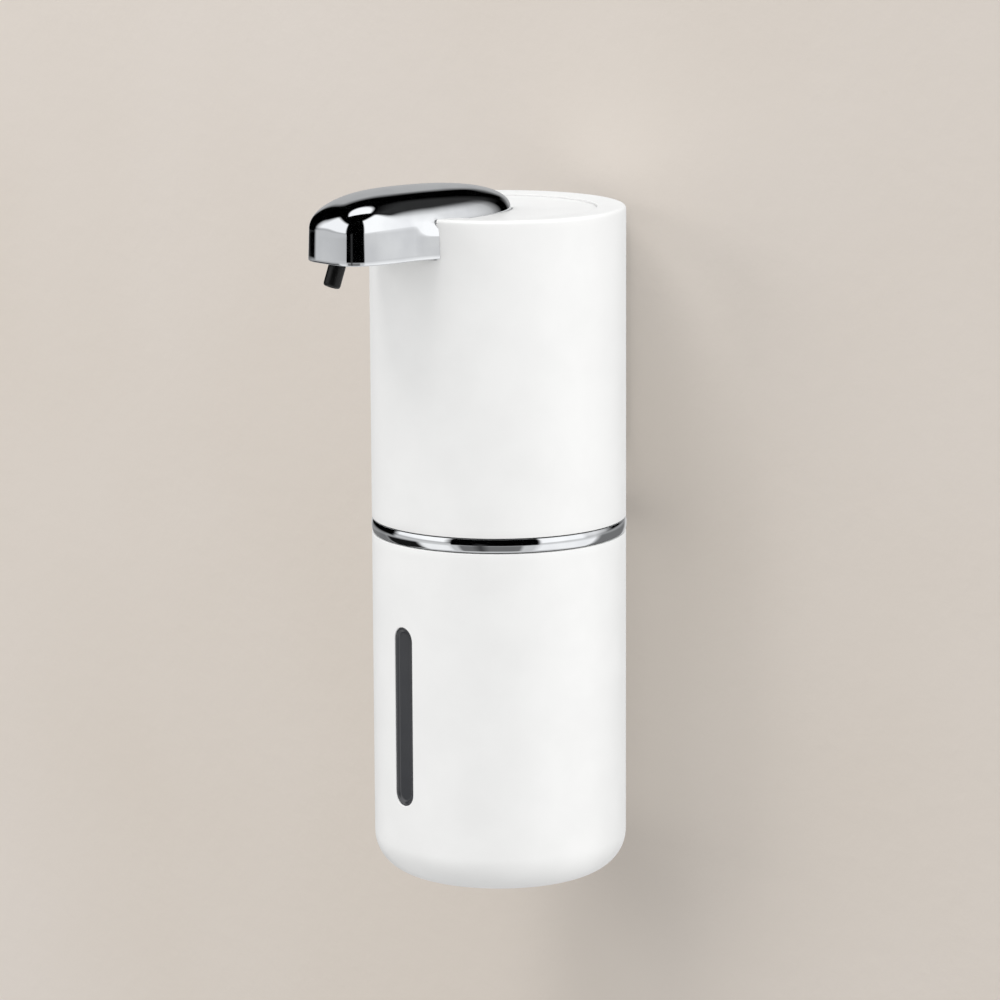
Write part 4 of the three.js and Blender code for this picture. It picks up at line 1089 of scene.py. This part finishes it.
def soft_light(name, place, size, power):
    """A round lamp at a place in metres, turned to the origin and hidden from mirrors."""
    data = bpy.data.lights.new(name, "AREA")
    data.shape = "DISK"
    data.size = size
    data.energy = power
    lamp = bpy.data.objects.new(name, data)
    bpy.context.scene.collection.objects.link(lamp)
    lamp.location = place
    lamp.rotation_euler = (-Vector(place)).to_track_quat("-Z", "Y").to_euler()
    lamp.visible_glossy = False


soft_light("key_light", (-0.25, -1.0, 1.9), 1.1, 15)
soft_light("right_fill", (1.8, 0.35, 0.75), 1.5, 16.5)
soft_light("left_fill", (-1.3, -1.5, 0.35), 1.5, 9)


# ---------- studio that the chrome mirrors ----------
# Each panel is (from, to) in degrees round from +X, (from, to) in degrees up, its brightness, and
# how many degrees its edge takes to fade. Later panels lie over earlier ones.
PANELS = [
    ((-100, 280), (-3, 68), 0.0, 2),     # dark ceiling, with an opening overhead
    ((-100, 50), (60, 95), 0.0, 2),
    ((226, 280), (60, 95), 0.0, 2),
    ((44, 88), (24, 58), 0.036, 7),      # dim top of the far wall
    ((30, 76), (-3, 30), 0.5, 6),        # pale wall beside the large window
    ((30, 64), (-3, 30), 0.95, 9),
    ((-5, 42), (-3, 57), 1.25, 3),       # large window on the right
    ((-5, 60), (-40, -9.5), 1.15, 4),    # the light that it throws on the table
    ((102, 152), (-3, 13), 0.46, 7),     # grey wall behind
    ((112, 160), (-3, 27), 0.48, 6),
    ((124, 163), (4, 42), 0.5, 5),
    ((60, 116), (-40, -4), 0.2, 5),      # dim table, far right
    ((150, 196), (-40, -10), 0.22, 4),
    ((158, 211), (-9, 12), 0.0, 3),      # dark doorway
    ((196, 240), (-40, -12), 0.01, 3),
    ((214, 272), (-1, 47), 1.25, 4),     # window on the left
    ((243, 274), (-40, -13), 1.1, 3),
    ((-88, -5), (-9, 62), 0.0, 1.5),     # dark front of the room
    ((-78, -20), (-40, -10), 0.2, 2),
    ((-62, -54), (-40, -2), 0.06, 4),
]


def times(tree, first, second):
    return add(tree, "ShaderNodeMath", {0: first, 1: second}, operation="MULTIPLY").outputs[0]


def studio_world():
    """White light for surfaces, brighter from above, and for mirrors a studio of panels by direction."""
    world = bpy.data.worlds.new("studio")
    bpy.context.scene.world = world
    world.use_nodes = True
    tree = world.node_tree
    tree.nodes.clear()
    direction = add(tree, "ShaderNodeTexCoord").outputs["Generated"]
    parts = add(tree, "ShaderNodeSeparateXYZ", {0: direction})
    x, y, z = parts.outputs
    angle = add(tree, "ShaderNodeMath", {0: y, 1: x}, operation="ARCTAN2").outputs[0]
    seam = {0: angle, 1: math.radians(275), 2: math.radians(-85)}
    turned = add(tree, "ShaderNodeMath", seam, operation="WRAP").outputs[0]
    height = add(tree, "ShaderNodeMath", {0: z}, operation="ARCSINE").outputs[0]
    level = between(tree, height, 0.7, 1.25, 0.0, 1.1)
    for (from_a, to_a), (from_h, to_h), brightness, fade in PANELS:
        masks = []
        for value, low, high in ((turned, from_a, to_a), (height, from_h, to_h)):
            low, high, soft = math.radians(low), math.radians(high), math.radians(fade)
            rise = between(tree, value, 0, 1, low - soft, low + soft)
            fall = between(tree, value, 1, 0, high - soft, high + soft)
            masks.append(times(tree, rise, fall))
        level = add(tree, "ShaderNodeMix", {0: times(tree, *masks), 2: level, 3: brightness}).outputs[0]
    mirrored = add(tree, "ShaderNodeBackground", {"Color": level, "Strength": 1.0})
    sky_level = between(tree, z, 0.67, 0.83, -0.4, 0.4)
    open_sky = add(tree, "ShaderNodeBackground", {"Color": colour("#F9F9F9"), "Strength": sky_level})
    is_glossy = add(tree, "ShaderNodeLightPath").outputs["Is Glossy Ray"]
    chosen = add(tree, "ShaderNodeMixShader", {
        0: is_glossy,
        1: open_sky.outputs[0],
        2: mirrored.outputs[0],
    })
    add(tree, "ShaderNodeOutputWorld", {"Surface": chosen.outputs[0]})


studio_world()
bpy.context.scene.view_settings.view_transform = "Standard"
